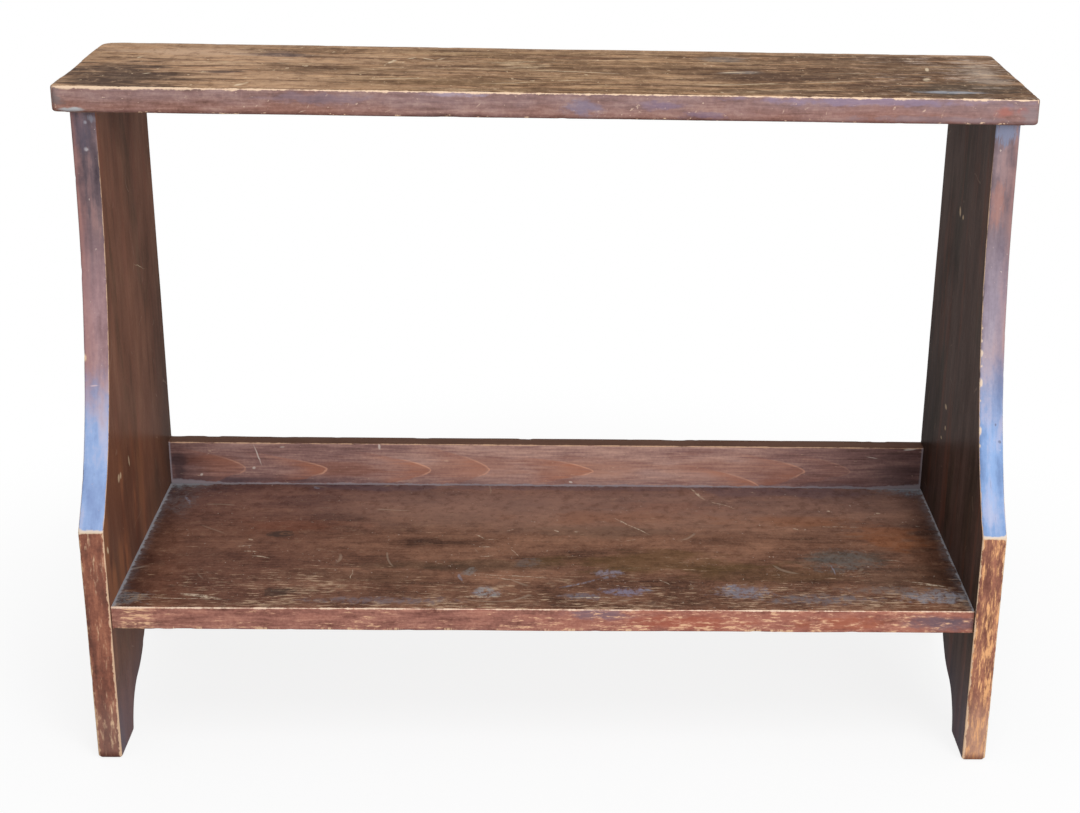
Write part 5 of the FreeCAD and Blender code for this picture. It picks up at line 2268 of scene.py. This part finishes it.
# ---- The bench ----
def boards() -> Iterable[Board]:
    """The bench's five boards, each with its finish and wear.

    Returns:
        The boards, one after another.
    """
    top = TopStain(Growth((0.02, 0.63), 0.0052, 0.012), Lay.FLAT, "503622", "846448",
                   "b0906c", "ac8c68", figure=0.35, gloss=0.1, seed=1.0)
    left = EndStain(
        Growth((0.08, -0.52), 0.006, 0.02), Lay.UPRIGHT, "40281e", "704734",
        # The left end takes painted light low on its inner face, and its painted sky reflection starts a
        # little lower.
        "8c5e44", "7a523c", figure=0.1, contrast=0.45, streaky=0.7, seed=2.0, stain_and_painted_glow=0.8,
        sky_reflection_top=0.435,
        scraped=scratched(
            (-45, 301, -40, 287, 6), (20, 506, 149, 454, 2.2, 0.1), (-99, 298, -94, 291, 9),
            (-89, 297, -85, 290, 8), (-174, 247, -168, 238, 6)),
        dabs=blotted(
            (-490, 431, 3, 4, "e8c4a2", 0.95, 0.3), (-475, 674, 2, 2.2, "b0acb2", 0.8, 0.4),
            (-476, 646, 2.8, 2.8, "beb6b8", 0.8, 0.5), (-468, 678, 6, 4, "84848e", 0.6, 0.9, -30),
            (-478, 662, 8, 26, "54505e", 0.5), (-480, 403, 5, 0.9, "d6bcbe", 0.7, 0.3)))
    right = EndStain(
        Growth((0.06, 0.52), 0.006, 0.02), Lay.UPRIGHT, "342824", "52403a",
        "68524a", "5e483e", figure=0.12, contrast=0.5, gloss=0.09, seed=3.0,
        high=Sweep("625256", "7e6c70", "9c888a"),
        middling=Sweep("7e707c", "988c98", "b6a8b0"), flush="9c6e62",
        # Painted reflection: the sky's blue on the right end's sweep.
        painted_sky_reflection=Sweep("6a80a8", "819bc5", "a5b4d0"),
        foot=Sweep("623c34", "86584a", "b0765e"),
        chip="e4aa78", chipped=0.56, soled=0.0, veil="be9882", worn_arris=0.75,
        scraped=scratched(
            (80, 562, 76, 551, 9), (61, 557, 59, 552, 9), (59, 331, 59, 325, 12), (54, 307, 53, 301, 9),
            (71, 288, 71, 284, 9)),
        dabs=blotted(
            (477, 678, 24, 15, "7a8096", 0.85, 1.1),
            *((465.4, level, wide, tall, "e2cab0", 0.9, 0.8)
              for level, wide, tall in (
                  (470, 1.2, 2), (457, 1, 2.4), (444, 1.6, 3.4), (431, 1, 2), (414, 1.5, 4.6),
                  (396, 0.9, 1.8), (366, 2, 4), (352, 1, 2.2))),
            (474, 600, 9, 26, "a67466", 0.5), (482, 372, 1.2, 1.6, "605c6e", 0.8, 0.3),
            # The last dab, pale blue, is a painted highlight of the sky on the sweep.
            (486, 356, 2.2, 1.4, "646478", 0.8, 0.3), (478, 330, 8, 40, "90acd6", 0.6)))
    shelf = ShelfStain(Growth((0.03, 0.11), 0.005, 0.02), Lay.FLAT, "3e2820", "785341",
                       "9e725a", "8c644c", figure=0.1, contrast=0.8, streaky=0.5, seed=4.0)
    lip = LipStain(Growth((0.198, 0.2075), 0.004, 0.036, curl=0.006), Lay.ON_EDGE, "70504a",
                   "a0786e", "be9282", "be8c76", figure=0.0, gloss=0.05, seed=5.0)
    yield TopBoard("top_plank", "top_board", "worn_top_wood", top, Wear(11, chips=1.0 * MM))
    yield EndBoard("left_side", "left_end", "stained_end_wood", left, Wear(12, grain=2), side=-1)
    yield EndBoard("right_side", "right_end", "stained_end_wood", right, Wear(13, grain=2), side=1)
    yield Shelf("bucket_shelf", "lower_shelf", "stained_shelf_wood", shelf, Wear(14))
    yield Lip("shelf_lip", "back_lip", "stained_lip_wood", lip, Wear(15, sag=0.2 * MM))


def dress_nails(nodes: dict[str, bpy.types.Object]) -> None:
    """Give every nail of the frame its iron.

    Args:
        nodes: The frame's nodes by name.
    """
    iron = NailIron().material("nail_iron")
    for name, node in nodes.items():
        if name.endswith("_nails"):
            for place in node.material_slots:
                place.material = iron
            log.info("%s: iron", name)


def main() -> None:
    """Build the studio and the bench."""
    logging.basicConfig(level=logging.INFO, format="%(name)s %(message)s")
    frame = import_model()
    Viewpoint().build()
    Studio().build()
    for board in boards():
        board.build()
    dress_nails(frame["nodes"])


if __name__ == "__main__":
    main()
